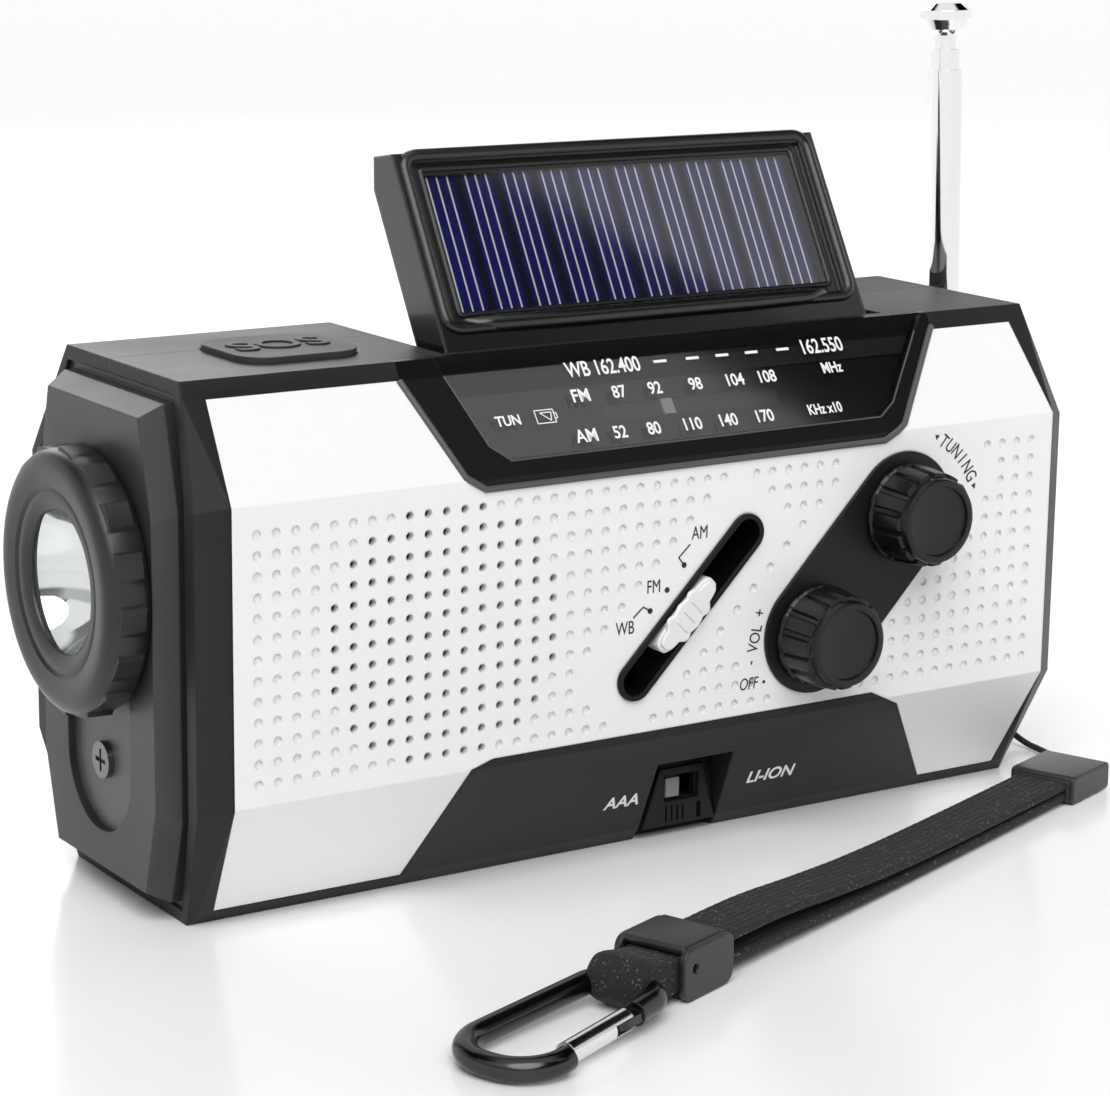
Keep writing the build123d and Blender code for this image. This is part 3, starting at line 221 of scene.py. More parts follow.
COPPER = surface("copper_wire", (0.6, 0.26, 0.1), rough=0.3, metal=1, grain=3, bump=0.3,
                 stretch=(4, 0.1, 0.1))
SLEEVE = surface("cell_sleeve", (0.04, 0.2, 0.5), rough=0.3, grain=2, bump=0.04)
CONE = surface("paper_cone", (0.03, 0.03, 0.03), rough=0.9, grain=4, bump=0.4)
LAMPWHITE = surface("lamp_white", (0.85, 0.85, 0.78), rough=0.3, grain=3, bump=0.05, vary=0.05)
EMITTER = surface("emitter", (0.01, 0.01, 0.012), rough=0.15, grain=2, bump=0.02, coat=0.5)
BRAID = woven("strap_braid", (0.006, 0.006, 0.007), (0.24, 0.24, 0.24))

KEPT = {
    CHARCOAL: "front_shell rear_shell lid_tray battery_cover bottom_bezel source_switch_plate",
    PLATE: "control_plate",
    CAP: "left_end_cap right_end_cap",
    WHITE: "front_panel",
    BLACK: "slot_liner window_frame",
    KNOB: "crank_arm crank_grip",
    PART: "dial_drum crank_gear generator_gear tuning_capacitor volume_control band_switch source_slider",
    SCALE: "dial_scale",
    POINTER: "pointer",
    GLASS: "dial_window",
    CLEAR: "lid_glass",
    SCREW: "case_screws",
    LENS: "lamp_lens",
    CELLGAP: "solar_cells",
    LIDBLACK: "lid_frame",
    LAMPWHITE: "reading_lamp",
    RUBBER: "sos_button",
    STEEL: "battery_contacts lid_hinge_pin speaker_frame generator crank_knuckle",
    CHROME: "antenna_swivel antenna_outer_tube antenna_middle_tube antenna_rod",
    EMITTER: "lamp_led",
    GUNMETAL: "carabiner",
    SILVER: "carabiner_gate",
    BOARD: "main_board",
    FERRITE: "ferrite_rod",
    COPPER: "ferrite_coil",
    SLEEVE: "lithium_cell aaa_cells",
    CONE: "speaker_cone",
}
for material, names in KEPT.items():
    for name in names.split():
        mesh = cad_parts[name].data
        mesh.materials.clear()
        mesh.materials.append(material)


# ---- building -----------------------------------------------------------------------------
def place(origin, x_dir, y_dir):
    """A local frame as a matrix, in metres, from an origin in millimetres and two directions"""
    x_dir, y_dir = Vector(x_dir).normalized(), Vector(y_dir).normalized()
    turned = Matrix((x_dir, y_dir, x_dir.cross(y_dir))).transposed().to_4x4()
    return Matrix.Translation(Vector(origin) * MM) @ turned


FRONT_Y = -28.0                             # the flat middle of the front
FOOT_TOP, SLOPE_FOOT = 18.6, 59.0           # heights where the front starts to lean back
FOOT_BACK, FOOT_RISE = 9.1, 16.5            # how far the lower part leans back over its height
SLOPE_BACK, SLOPE_RISE = 9.5, 12.6          # the same for the dial's slope
TILT = radians(60)                          # the open lid
FRONT = place((0, FRONT_Y, 0), (1, 0, 0), (0, 0, 1))
DIAL = place((0, FRONT_Y, SLOPE_FOOT), (1, 0, 0), (0, SLOPE_BACK, SLOPE_RISE))
LID = place((0, -10.57, 70.52), (1, 0, 0), (0, cos(TILT), sin(TILT)))
TOP = place((0, 0, 74.8), (1, 0, 0), (0, 1, 0))
FOOT = place((0, FRONT_Y, FOOT_TOP), (1, 0, 0), (0, -FOOT_BACK, FOOT_RISE))


def piece(data, name, material, body, at=None, replaces=()):
    """A visible piece that moves with a body, with what it stands for in the CAD"""
    made = bpy.data.objects.new(name, data)
    scene.collection.objects.link(made)
    data.materials.append(material)
    if at is not None:
        made.matrix_world = at
    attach(made, body)
    if replaces:
        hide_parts(*replaces)
    return made


def mesh_from(shape, sharp):
    """A shape's mesh, smooth but for edges over sharp degrees"""
    mesh = bpy.data.meshes.new("shape")
    bmesh.ops.recalc_face_normals(shape, faces=shape.faces)
    shape.to_mesh(mesh)
    shape.free()
    mesh.shade_smooth()
    mesh.set_sharp_from_angle(angle=radians(sharp))
    return mesh


def lathe(profile, count, offset=None):
    """Turns (radius, height) points, in mm, about local Z. offset(angle, row) moves a ring's point out."""
    shape = bmesh.new()
    rings = []
    for row, (radius, height) in enumerate(profile):
        if radius == 0:
            rings.append([shape.verts.new((0, 0, height * MM))])
            continue
        ring = []
        for k in range(count):
            angle = 2 * pi * k / count
            r = radius + (offset(angle, row) if offset else 0)
            ring.append(shape.verts.new((r * cos(angle) * MM, r * sin(angle) * MM, height * MM)))
        rings.append(ring)
    for a, b in zip(rings, rings[1:]):
        for k in range(count):
            n = (k + 1) % count
            corners = [a[k % len(a)], a[n % len(a)], b[n % len(b)], b[k % len(b)]]
            corners = [v for i, v in enumerate(corners) if v not in corners[:i]]
            if len(corners) > 2:
                shape.faces.new(corners)
    return shape


BEVEL_STEPS = 3


def rounded(points, radius, steps=6):
    """A closed outline with its corners rounded, the radius limited by its sides"""
    out = []
    total = len(points)
    for k in range(total):
        before, corner, after = (Vector(points[(k + d) % total]) for d in (-1, 0, 1))
        to_before, to_after = before - corner, after - corner
        reach = min(radius, to_before.length * 0.45, to_after.length * 0.45)
        start = corner + to_before.normalized() * reach
        end = corner + to_after.normalized() * reach
        for s in range(steps + 1):
            t = s / steps
            out.append(tuple((1 - t) ** 2 * start + 2 * t * (1 - t) * corner + t * t * end))
    return out


def plate(outlines, low, high, bevel=0.0):
    """A flat plate between two heights, in mm, from an outline and its holes"""
    curve = bpy.data.curves.new("plate", "CURVE")
    curve.dimensions = "2D"
    curve.fill_mode = "BOTH"
    for points in outlines:
        spline = curve.splines.new("POLY")
        spline.points.add(len(points) - 1)
        for point, (x, y) in zip(spline.points, points):
            point.co = (x * MM, y * MM, 0, 1)
        spline.use_cyclic_u = True
    curve.extrude = (high - low) / 2 * MM - bevel * MM
    curve.bevel_depth = bevel * MM
    curve.bevel_resolution = BEVEL_STEPS
    curve.offset = -bevel * MM
    holder = bpy.data.objects.new("holder", curve)
    mesh = bpy.data.meshes.new_from_object(holder)
    bpy.data.objects.remove(holder)
    mesh.transform(Matrix.Translation((0, 0, (low + high) / 2 * MM)))
    mesh.shade_smooth()
    mesh.set_sharp_from_angle(angle=radians(40))
    return mesh


def rim(points, radius, closed=True):
    """A thin round bead along a line of 3-D points, in mm"""
    curve = bpy.data.curves.new("rim", "CURVE")
    curve.dimensions = "3D"
    spline = curve.splines.new("POLY")
    spline.points.add(len(points) - 1)
    for point, co in zip(spline.points, points):
        point.co = (*(c * MM for c in co), 1)
    spline.use_cyclic_u = closed
    curve.bevel_depth = radius * MM
    curve.bevel_resolution = BEVEL_STEPS
    return curve


def join(meshes):
    """Several meshes as one"""
    shape = bmesh.new()
    for mesh in meshes:
        shape.from_mesh(mesh)
    out = bpy.data.meshes.new("joined")
    shape.to_mesh(out)
    shape.free()
    return out


LETTER_SHARE = 0.7       # a capital's height in a font's size


def label(text, name, x, y, size, at, material, body="case", turn=0.0, lean=0.0, width=1.0, deep=0.05,
          bold=0.0):
    """Printed lettering: x, y and the letters' height are in mm on the frame at"""
    data = bpy.data.curves.new(name, "FONT")
    data.body = text
    data.size = size * MM / LETTER_SHARE
    data.align_x = "CENTER"
    data.align_y = "CENTER"
    data.extrude = deep / 2 * MM
    data.offset = bold * MM
    data.shear = lean
    spot = at @ Matrix.Translation((x * MM, y * MM, deep / 2 * MM)) @ Matrix.Rotation(turn, 4, "Z")
    spot = spot @ Matrix.Diagonal((width, 1, 1, 1))
    return piece(data, name, material, body, spot)


# ---- the tether and the strap ---------------------------------------------------------------
def smooth_line(points):
    """A route's NURBS curve, in metres, with its control points in mm"""
    curve = bpy.data.curves.new("route", "CURVE")
    curve.dimensions = "3D"
    curve.resolution_u = 12
    spline = curve.splines.new("NURBS")
    spline.points.add(len(points) - 1)
    for point, co in zip(spline.points, points):
        point.co = (*(c * MM for c in co), 1)
    spline.order_u = 3
    spline.use_endpoint_u = True
    return curve


def read_line(curve):
    """The points along a curve, in metres"""
    holder = bpy.data.objects.new("holder", curve)
    mesh = bpy.data.meshes.new_from_object(holder)
    bpy.data.objects.remove(holder)
    return [vert.co.copy() for vert in mesh.vertices]


TETHER_DIAMETER = 1.0
TETHER_ROUTE = [
    (75.7, -2.5, 7.5), (78.6, -2.7, 7.2), (81.2, -5.2, 3.6), (82.4, -10.0, 0.8), (82.0, -15.4, 0.7),
    (80.6, -20.6, 1.0), (79.4, -25.4, 1.9), (77.2, -29.2, 2.3),
]
tether_curve = smooth_line(TETHER_ROUTE)
tether_curve.bevel_depth = TETHER_DIAMETER / 2 * MM
tether_curve.bevel_resolution = 4
tether_line = read_line(smooth_line(TETHER_ROUTE))
tether = piece(tether_curve, "tether", BRAID, "case", replaces=["tether_cord"])

STRAP_WIDTH, PLY, BAND_END = 8.6, 1.3, 105
RIBS = 8
RING_STEP = 0.6          # between a band's cross-sections, in mm
ACROSS = Vector((ALONG.y, -ALONG.x, 0))
UPPER_ROUTE = [(0, 2.95), (26, 2.85), (50, 3.1), (66, 4.0), (78, 5.0), (86, 5.2), (BAND_END, 5.2)]
LOWER_ROUTE = [(0, 1.35), (26, 1.15), (50, 1.1), (66, 1.4), (78, 1.9), (86, 2.0), (BAND_END, 2.0)]


def strap_point(s, height):
    """A point in mm on the strap's middle line, s along it from the end cap"""
    return STRAP_START + ALONG * s + Vector((0, 0, height))


def ribbed_band(route):
    """A flat plaited band: cords side by side, each crowned, along the route"""
    line = read_line(smooth_line([strap_point(s, z) for s, z in route]))
    outline = []
    steps = RIBS * 6
    for k in range(steps + 1):
        across = (k / steps - 0.5) * STRAP_WIDTH
        crown = abs(sin(pi * RIBS * k / steps)) ** 0.6
        tuck = 1 - max(0.0, abs(2 * k / steps - 1) - 0.9) * 4
        outline.append((across, PLY / 2 * (0.78 + 0.22 * crown) * tuck))
    outline += [(a, -h) for a, h in reversed(outline)]
    dense = []
    for a, b in zip(line, line[1:]):
        count = max(1, round((b - a).length / (RING_STEP * MM)))
        dense += [a.lerp(b, i / count) for i in range(count)]
    dense.append(line[-1])
    shape = bmesh.new()
    rings = []
    for index, point in enumerate(dense):
        ahead = dense[min(index + 1, len(dense) - 1)] - dense[max(index - 1, 0)]
        lift = ACROSS.cross(ahead.normalized()).normalized()
        if lift.z < 0:
            lift = -lift
        ring = []
        for a, h in outline:
            plait = 1 + 0.05 * sin(index * 2.1 + (a * RIBS / STRAP_WIDTH) * 2.0)
            ring.append(shape.verts.new(point + ACROSS * a * MM + lift * h * plait * MM))
        rings.append(ring)
    for a, b in zip(rings, rings[1:]):
        for j in range(len(outline)):
            n = (j + 1) % len(outline)
            shape.faces.new((a[j], a[n], b[n], b[j]))
    shape.faces.new(rings[0])
    shape.faces.new(list(reversed(rings[-1])))
    return mesh_from(shape, 60), line


upper_mesh, upper_line = ribbed_band(UPPER_ROUTE)
lower_mesh, lower_line = ribbed_band(LOWER_ROUTE)
upper = piece(upper_mesh, "strap_band_upper", BRAID, "case", replaces=["strap_upper"])
lower = piece(lower_mesh, "strap_band_lower", BRAID, "case", replaces=["strap_lower"])

STRAP_SIDE = Matrix.Translation(STRAP_START * MM) @ Matrix(
    (ALONG, Vector((0, 0, 1)), ALONG.cross(Vector((0, 0, 1))))).transposed().to_4x4()


def strap_plate(points, low, high, radius, bevel):
    return plate([rounded(points, radius)], low, high, bevel)


end_cap = piece(
    strap_plate([(0, 0.2), (0, 4.4), (-12, 4.4), (-12, 0.2)], -5.4, 5.4, 0.9, 0.35),
    "strap_end", FITTING, "case", STRAP_SIDE, ["strap_end_cap"])
collar = piece(
    strap_plate([(0.45, 0.75), (0.45, 3.85), (-0.5, 3.85), (-0.5, 0.75)], -4.75, 4.75, 0.3, 0.15),
    "strap_end_collar", FITTING, "case", STRAP_SIDE)

SLIDER_S = (STRAP_END - STRAP_START).length
CHEEK_REACH, INNER_REACH, INNER_SIDE = 5.7, 4.7, 4.6
PIN_S, PIN_HEIGHT, PIN_RADIUS = SLIDER_S + 3.1, 4.3, 0.62
cheek = [(SLIDER_S - CHEEK_REACH, 0.15), (SLIDER_S + CHEEK_REACH, 0.15), (SLIDER_S + CHEEK_REACH, 7.1),
         (SLIDER_S - CHEEK_REACH, 7.1)]
pin_hole = [(PIN_S + PIN_RADIUS * cos(a * pi / 12), PIN_HEIGHT + PIN_RADIUS * sin(a * pi / 12))
            for a in range(24)]
cheek_far = plate([rounded(cheek, 2.2, 8)], 4.5, 5.5, 0.25)
cheek_near = plate([rounded(cheek, 2.2, 8), pin_hole], -5.5, -4.5, 0.25)


def slider_bar(low, high, radius, bevel):
    """A bar of the slider between its cheeks, between two heights"""
    outline = [(SLIDER_S - INNER_REACH, low), (SLIDER_S - INNER_REACH, high), (SLIDER_S + INNER_REACH, high),
               (SLIDER_S + INNER_REACH, low)]
    return strap_plate(outline, -INNER_SIDE, INNER_SIDE, radius, bevel)


slider = piece(
    join([cheek_near, cheek_far, slider_bar(6.0, 7.3, 0.6, 0.1), slider_bar(0.5, 1.2, 0.2, 0.05),
          slider_bar(2.8, 4.4, 0.2, 0.05)]),
    "strap_slide", FITTING, "strap_slider", STRAP_SIDE, ["strap_slider"])

LOOP_S = SLIDER_S + 10.6
ROLL_RADIUS, ROLL_MIDDLE, ROLL_SIDE = 3.4, 3.6, 4.3
ROLL_ROWS, ROLL_POINTS = 20, 48
NECK_HALF = 2.35         # half the roll's height where it enters the slider
NECK_FROM = -0.2         # the cosine of the angle at which the roll starts to narrow
FLOOR_GAP = 0.25


def roll_mesh():
    """The strap rolled round the carabiner's bar: a soft fat roll that narrows into the slider"""
    shape = bmesh.new()
    rings = []
    for k in range(ROLL_ROWS + 1):
        t = k / ROLL_ROWS * 2 - 1
        side = t * ROLL_SIDE
        puff = 1 - 0.16 * abs(t) ** 4
        ring = []
        for j in range(ROLL_POINTS):
            angle = 2 * pi * j / ROLL_POINTS
            x = LOOP_S + ROLL_RADIUS * puff * cos(angle)
            z = ROLL_MIDDLE + ROLL_RADIUS * puff * sin(angle)
            if cos(angle) < NECK_FROM:
                pull = min(1, (NECK_FROM - cos(angle)) / 0.5)
                x = x * (1 - pull) + BAND_END * pull
                z = (ROLL_MIDDLE + (z - ROLL_MIDDLE) * (1 - pull)
                     + pull * NECK_HALF * puff * max(-1, min(1, sin(angle) * 1.4)))
            spiral = 1 + 0.012 * sin(6 * angle + 2.2 * k)
            z = max(FLOOR_GAP, ROLL_MIDDLE + (z - ROLL_MIDDLE) * spiral)
            ring.append(shape.verts.new(Vector((x, z, side)) * MM))
        rings.append(ring)
    for a, b in zip(rings, rings[1:]):
        for j in range(ROLL_POINTS):
            n = (j + 1) % ROLL_POINTS
            shape.faces.new((a[j], a[n], b[n], b[j]))
    for ring in (rings[0], rings[-1]):
        shape.faces.new(ring)
    return mesh_from(shape, 50)


roll = piece(roll_mesh(), "strap_roll", BRAID, "case", STRAP_SIDE, ["strap_loop"])

# ---- torch ----------------------------------------------------------------------------------
LAMP = place((0, 0, 45), (0, 1, 0), (0, 0, 1))      # local Z is +X
GRIPS, GRIP_HEIGHT, GRIP_SHARE = 16, 0.55, 0.62
GRIP_ROWS = (6, 7)       # the profile's points that the grips stand on


def grip_offset(angle, row):
    """Wedge-shaped grips round the ring, each with one steep edge"""
    if row not in GRIP_ROWS:
        return 0
    part = (angle / (2 * pi) * GRIPS) % 1
    return GRIP_HEIGHT * (1 - part / GRIP_SHARE) if part < GRIP_SHARE else 0


LAMP_PROFILE = [
    (13.2, -72.4), (14.9, -72.4), (14.95, -75.9), (17.6, -76.0), (17.95, -76.25), (18.1, -76.7),
    (18.12, -76.9),
    (18.0, -80.5), (17.95, -80.6), (17.8, -80.9), (17.5, -81.3), (17.0, -81.65), (16.4, -81.9), (15.8, -82.0),
    (14.8, -81.95), (13.6, -81.75), (13.0, -81.65), (12.75, -81.35), (12.6, -81.3), (12.3, -81.45),
    (11.4, -81.4), (10.4, -81.15), (9.9, -80.85), (9.75, -80.5), (9.85, -80.35), (13.2, -80.35),
    (13.2, -72.4),
]
piece(mesh_from(lathe(LAMP_PROFILE, GRIPS * 20, grip_offset), 32), "lamp_ring", LAMPBLACK, "lamp_head", LAMP,
      ["lamp_bezel"])
REFLECTOR = [
    (2.7, -70.5), (9.2, -70.5), (9.2, -71.8), (12.7, -71.8), (12.7, -72.75), (10.2, -72.9), (11.7, -79.2),
    (11.2, -79.2), (10.4, -77.6), (9.3, -75.9), (7.9, -74.3), (6.2, -72.9), (4.4, -71.9), (2.7, -71.3),
    (2.7, -70.5),
]
piece(mesh_from(lathe(REFLECTOR, 96), 40), "torch_reflector", CHROME, "case", LAMP, ["lamp_reflector"])

LEFT = place((-75.7, 0, 0), (0, -1, 0), (0, 0, 1))
RECESS_R, RECESS_LOW, RECESS_TOP = 9.7, 19.4, 33.6       # a U: half a circle with straight sides
lower_half = [(RECESS_R * cos(a * pi / 24 + pi), RECESS_LOW + RECESS_R * sin(a * pi / 24 + pi))
              for a in range(25)]
recess = [(-RECESS_R, RECESS_TOP), *lower_half, (RECESS_R, RECESS_TOP)]
piece(plate([recess], -1.2, -1.15), "recess_floor", EDGING, "case", LEFT)

# ---- knobs ----------------------------------------------------------------------------------
KNOB_PROFILE = [
    (0, -8.05), (4.9, -8.05), (5.05, -8.1), (5.15, -8.7), (5.35, -8.75), (5.9, -8.72), (6.15, -8.6),
    (6.25, -8.35), (6.35, -7.6), (6.36, -7.5), (6.3, -7.35), (6.75, -2.4), (7.0, -1.9), (7.0, -1.7),
    (7.25, -1.5),
    (7.3, -1.3), (7.3, -0.95), (3.2, -0.95), (0, -0.95),
]
TUNING_AT, VOLUME_AT = (40.8, 46.9), (24.97, 30.5)
PADS, PAD_HEIGHT, PAD_SHARE, PAD_EDGE = 15, 0.6, 0.66, 0.08
PAD_ROWS = (10, 11)      # the profile's points that the pads stand on
BEAD_ROWS, BEAD_HEIGHT, BEAD_SHARE = (13, 14, 15), 0.12, 0.3


def pad_offset(angle, row):
    """Flat raised pads along the knob's side, and low beads round its foot"""
    from_middle = abs(((angle / (2 * pi) * PADS) % 1) - 0.5)
    if row in BEAD_ROWS:
        return BEAD_HEIGHT if from_middle < BEAD_SHARE else 0
    if row not in PAD_ROWS:
        return 0
    part = from_middle * 2
    if part < PAD_SHARE:
        return PAD_HEIGHT
    return PAD_HEIGHT * (1 - (part - PAD_SHARE) / PAD_EDGE) if part < PAD_SHARE + PAD_EDGE else 0


for (x, z), name, body, node_name in ((TUNING_AT, "tuning_dial", "tuning", "tuning_knob"),
                                      (VOLUME_AT, "volume_dial", "volume", "volume_knob")):
    spot = place((x, FRONT_Y, z), (1, 0, 0), (0, 0, -1))      # local Z is +Y
    piece(mesh_from(lathe(KNOB_PROFILE, PADS * 20, pad_offset), 30), name, KNOB, body, spot, [node_name])

# ---- band switch ------------------------------------------------------------------------------
SLOT_LOW, SLOT_HIGH = (-6.55, 27.58), (12.34, 46.74)
slot_turn = atan2(SLOT_HIGH[1] - SLOT_LOW[1], SLOT_HIGH[0] - SLOT_LOW[0])
SLIDE = FRONT @ Matrix.Translation(Vector((1.9, 36.15, 0)) * MM) @ Matrix.Rotation(slot_turn, 4, "Z")


SCALLOPS_END = 3.7       # how far the scallops reach from the slide's middle


def wavy_outline(reach, half, swell):
    """The slide's outline: long with round ends, and a wider scalloped middle"""
    points = []
    for k in range(96):
        angle = 2 * pi * k / 96
        x = reach * (1 if cos(angle) > 0 else -1) * abs(cos(angle)) ** 0.5
        y = half * (1 if sin(angle) > 0 else -1) * abs(sin(angle)) ** 0.55
        if abs(x) < SCALLOPS_END:
            scallop = swell * (1 + 0.3 * cos(x * 2.6)) * min(1, (SCALLOPS_END - abs(x)) / 0.5)
            y += scallop * (1 if y > 0 else -1)
        points.append((x, y))
    return points


thumb_base = plate([wavy_outline(6.4, 1.6, 0.3)], -2.6, 0.75, 0.3)
thumb_pad = plate([wavy_outline(5.9, 1.45, 0.75)], 0.6, 1.3, 0.3)
ridges = [plate([rounded([(x - 0.18, -1.3), (x + 0.18, -1.3), (x + 0.18, 1.3), (x - 0.18, 1.3)], 0.17)],
                1.2, 1.5, 0.12) for x in (-1.8, 0, 1.8)]
piece(join([thumb_base, thumb_pad] + ridges), "band_thumb", PALE, "band_slider", SLIDE, ["band_slider"])


MARK = 0.06              # the height of a printed mark


def dot(name, x, y, radius):
    """A printed dot on the front"""
    ring = [(x + radius * cos(a * pi / 10), y + radius * sin(a * pi / 10)) for a in range(20)]
    piece(plate([ring], 0.0, MARK), name, INK, "case", FRONT)


def stroke(name, points, width, at, material):
    """A printed line through 2-D points"""
    parts = []
    for (x0, y0), (x1, y1) in zip(points, points[1:]):
        length = hypot(x1 - x0, y1 - y0)
        nx, ny = -(y1 - y0) / length * width / 2, (x1 - x0) / length * width / 2
        parts.append(plate([[(x0 + nx, y0 + ny), (x1 + nx, y1 + ny), (x1 - nx, y1 - ny), (x0 - nx, y0 - ny)]],
                           0.0, MARK))
    piece(join(parts), name, material, "case", at)


for name, text, (dx, dz), (tx, tz), elbow in (
        ("am", "AM", (1.64, 43.33), (4.28, 47.65), [(1.64, 43.33), (0.7, 44.5), (2.6, 46.2)]),
        ("fm", "FM", (-1.2, 40.06), (-3.5, 40.75), None),
        ("wb", "WB", (-4.04, 37.39), (-8.24, 35.33), [(-4.04, 37.39), (-5.2, 38.1), (-6.9, 36.7)])):
    dot("dot_" + name, dx, dz, 0.42)
    label(text, "mark_" + name, tx, tz, 1.9, FRONT, INK, width=0.72)
    if elbow:
        stroke("leader_" + name, elbow, 0.2, FRONT, INK)
label("-  VOL  +", "mark_volume", 14.5, 31.2, 1.85, FRONT, INK, turn=radians(78), width=0.8)
label("OFF", "mark_off", 13.4, 24.3, 1.75, FRONT, INK, width=0.75, lean=0.2)
dot("dot_off", 16.2, 24.3, 0.25)
for k, letter in enumerate("TUNING"):
    angle, reach = radians(52.5 - 7.1 * k), 12.1 + 0.26 * k
    label(letter, "mark_tuning_" + str(k), TUNING_AT[0] + reach * cos(angle),
          TUNING_AT[1] + reach * sin(angle),
          2.1, FRONT, INK, turn=radians(-40 - 5 * k), width=0.72)
for k, (x, z, pointing) in enumerate(((46.9, 57.4, radians(140)), (54.3, 49.3, radians(-70)))):
    arrow = [(x + 0.5 * cos(pointing + a), z + 0.5 * sin(pointing + a)) for a in (0, 2.1, 4.2)]
    piece(plate([arrow], 0, MARK), "mark_arrow_" + str(k), INK, "case", FRONT)

# ---- dial -------------------------------------------------------------------------------------
INSIDE = DIAL @ Matrix.Translation((0, 0, -1.38 * MM))
ON_GLASS = DIAL @ Matrix.Translation((0, 0, -0.27 * MM))
RISE_PER_MM = 0.7985     # the height gained by a millimetre up the slope


def up_slope(z):
    """How far up the dial's slope a height is"""
    return (z - SLOPE_FOOT) / RISE_PER_MM


for text, x, z, size, width in (
        ("WB 162.400", -6.4, 70.9, 2.3, 0.74), ("162.550", 31.9, 70.9, 2.3, 0.74),
        ("MHz", 32.3, 68.0, 1.7, 0.78),
        ("FM", -11.7, 67.7, 1.95, 0.9), ("87", -5.3, 67.7, 1.85, 0.86), ("92", 0.8, 67.7, 1.85, 0.86),
        ("98", 7.8, 67.7, 1.85, 0.86), ("104", 14.6, 67.7, 1.85, 0.86), ("108", 20.3, 67.7, 1.85, 0.86),
        ("KHz x10", 28.3, 62.9, 1.6, 0.75), ("AM", -13.0, 62.8, 1.95, 0.9), ("52", -7.5, 62.8, 1.85, 0.86),
        ("80", -1.8, 62.8, 1.85, 0.86), ("110", 4.7, 62.8, 1.85, 0.86), ("140", 10.9, 62.8, 1.85, 0.86),
        ("170", 17.3, 62.8, 1.85, 0.86), ("TUN", -24.5, 65.6, 1.5, 0.9)):
    label(text, "dial_" + text.replace(" ", "_"), x, up_slope(z), size, ON_GLASS, PRINT, width=width,
          bold=0.045)
for k, x in enumerate((3.3, 8.9, 14.1, 19.3, 24.9)):
    stroke("dial_dash_" + str(k), [(x - 1.1, up_slope(71.0)), (x + 1.1, up_slope(71.0))], 0.42, ON_GLASS,
           PRINT)
bx, by = -18.3, up_slope(65.7)
stroke("dial_battery", [(bx - 1.7, by - 1), (bx + 1.3, by - 1), (bx + 1.3, by + 1), (bx - 1.7, by + 1),
                        (bx - 1.7, by - 1)], 0.14, ON_GLASS, PRINT)
stroke("dial_battery_end", [(bx + 1.3, by - 0.4), (bx + 1.7, by - 0.4), (bx + 1.7, by + 0.4),
                            (bx + 1.3, by + 0.4)], 0.14, ON_GLASS, PRINT)
stroke("dial_battery_fill", [(bx - 0.9, by + 0.6), (bx + 0.9, by + 0.6), (bx + 0.6, by - 0.7),
                             (bx - 0.9, by + 0.6)], 0.14, ON_GLASS, PRINT)
groove = rounded([(-8.0, 7.4), (22.4, 7.4), (22.4, 9.8), (-8.0, 9.8)], 1.2)
piece(plate([groove], -0.9, -0.55), "dial_groove", GROOVE, "case", INSIDE)

mask = [(-33.2, 12.9), (50.2, 12.9), (51.6, 15.7), (-34.0, 15.7)]
piece(plate([mask], -1.2, -1.1), "dial_mask", SCALE, "case", DIAL)

# ---- window frame: a grey outer edge and a thin light line round the glass ------------------------
def on_front(x, z, lift=0.0):
    """A point of the front's surface over (x, z)"""
    y = FRONT_Y
    if z > SLOPE_FOOT:
        y += (z - SLOPE_FOOT) * SLOPE_BACK / SLOPE_RISE
    if z < FOOT_TOP:
        y += (FOOT_TOP - z) * FOOT_BACK / FOOT_RISE
    return (x, y - lift, z)


def over_kink(points, kink):
    """Adds a point wherever a line crosses the kink's height"""
    out = []
    for a, b in zip(points, points[1:]):
        out.append(a)
        if (a[1] - kink) * (b[1] - kink) < 0:
            t = (kink - a[1]) / (b[1] - a[1])
            out.append((a[0] + t * (b[0] - a[0]), kink))
    out.append(points[-1])
    return out


OUTER_EDGE = [(-39.2, 71.6), (-34.2, 59.4), (-31.2, 57.6), (37.0, 57.8), (41.1, 59.8), (53.0, 72.0)]
GLASS_EDGE = [(-32.2, 71.6), (-29.0, 62.8), (-26.3, 60.8), (37.4, 61.0), (40.6, 62.7), (49.6, 71.6)]
piece(rim([on_front(x, z, 0.02) for x, z in over_kink(OUTER_EDGE, SLOPE_FOOT)], 0.5, False), "window_edge",
      EDGING, "case")
piece(rim([on_front(x, z, 0.0) for x, z in GLASS_EDGE], 0.14, False), "window_line", EDGING, "case")

# ---- solar lid ----------------------------------------------------------------------------------
CELL_X0, CELL_X1, CELL_Y0, CELL_Y1 = -23.8, 40.2, 7.6, 28.9
ring = rounded([(-26.9, 4.9), (43.5, 4.9), (43.5, 31.2), (-26.9, 31.2)], 2.4, 8)
piece(rim([(x, y, 3.25) for x, y in ring], 0.95), "lid_ring", LIDBLACK, "lid", LID)
lip = rounded([(CELL_X0 - 0.4, CELL_Y0 - 0.4), (CELL_X1 + 0.4, CELL_Y0 - 0.4), (CELL_X1 + 0.4, CELL_Y1 + 0.4),
               (CELL_X0 - 0.4, CELL_Y1 + 0.4)], 0.5, 4)
piece(rim([(x, y, 2.75) for x, y in lip], 0.4), "lid_lip", LIDBLACK, "lid", LID)
roll_curve = rim([(-23.6, 6.4, 2.6), (-22.3, 5.6, 3.0), (-18.5, 5.3, 3.2), (-8, 5.2, 3.25), (24, 5.2, 3.25),
                  (34.5, 5.3, 3.2), (38.3, 5.6, 3.0), (39.6, 6.4, 2.6)], 1.5, False)
for point, scale in zip(roll_curve.splines[0].points, (0.3, 0.75, 0.95, 1, 1, 0.95, 0.75, 0.3)):
    point.radius = scale
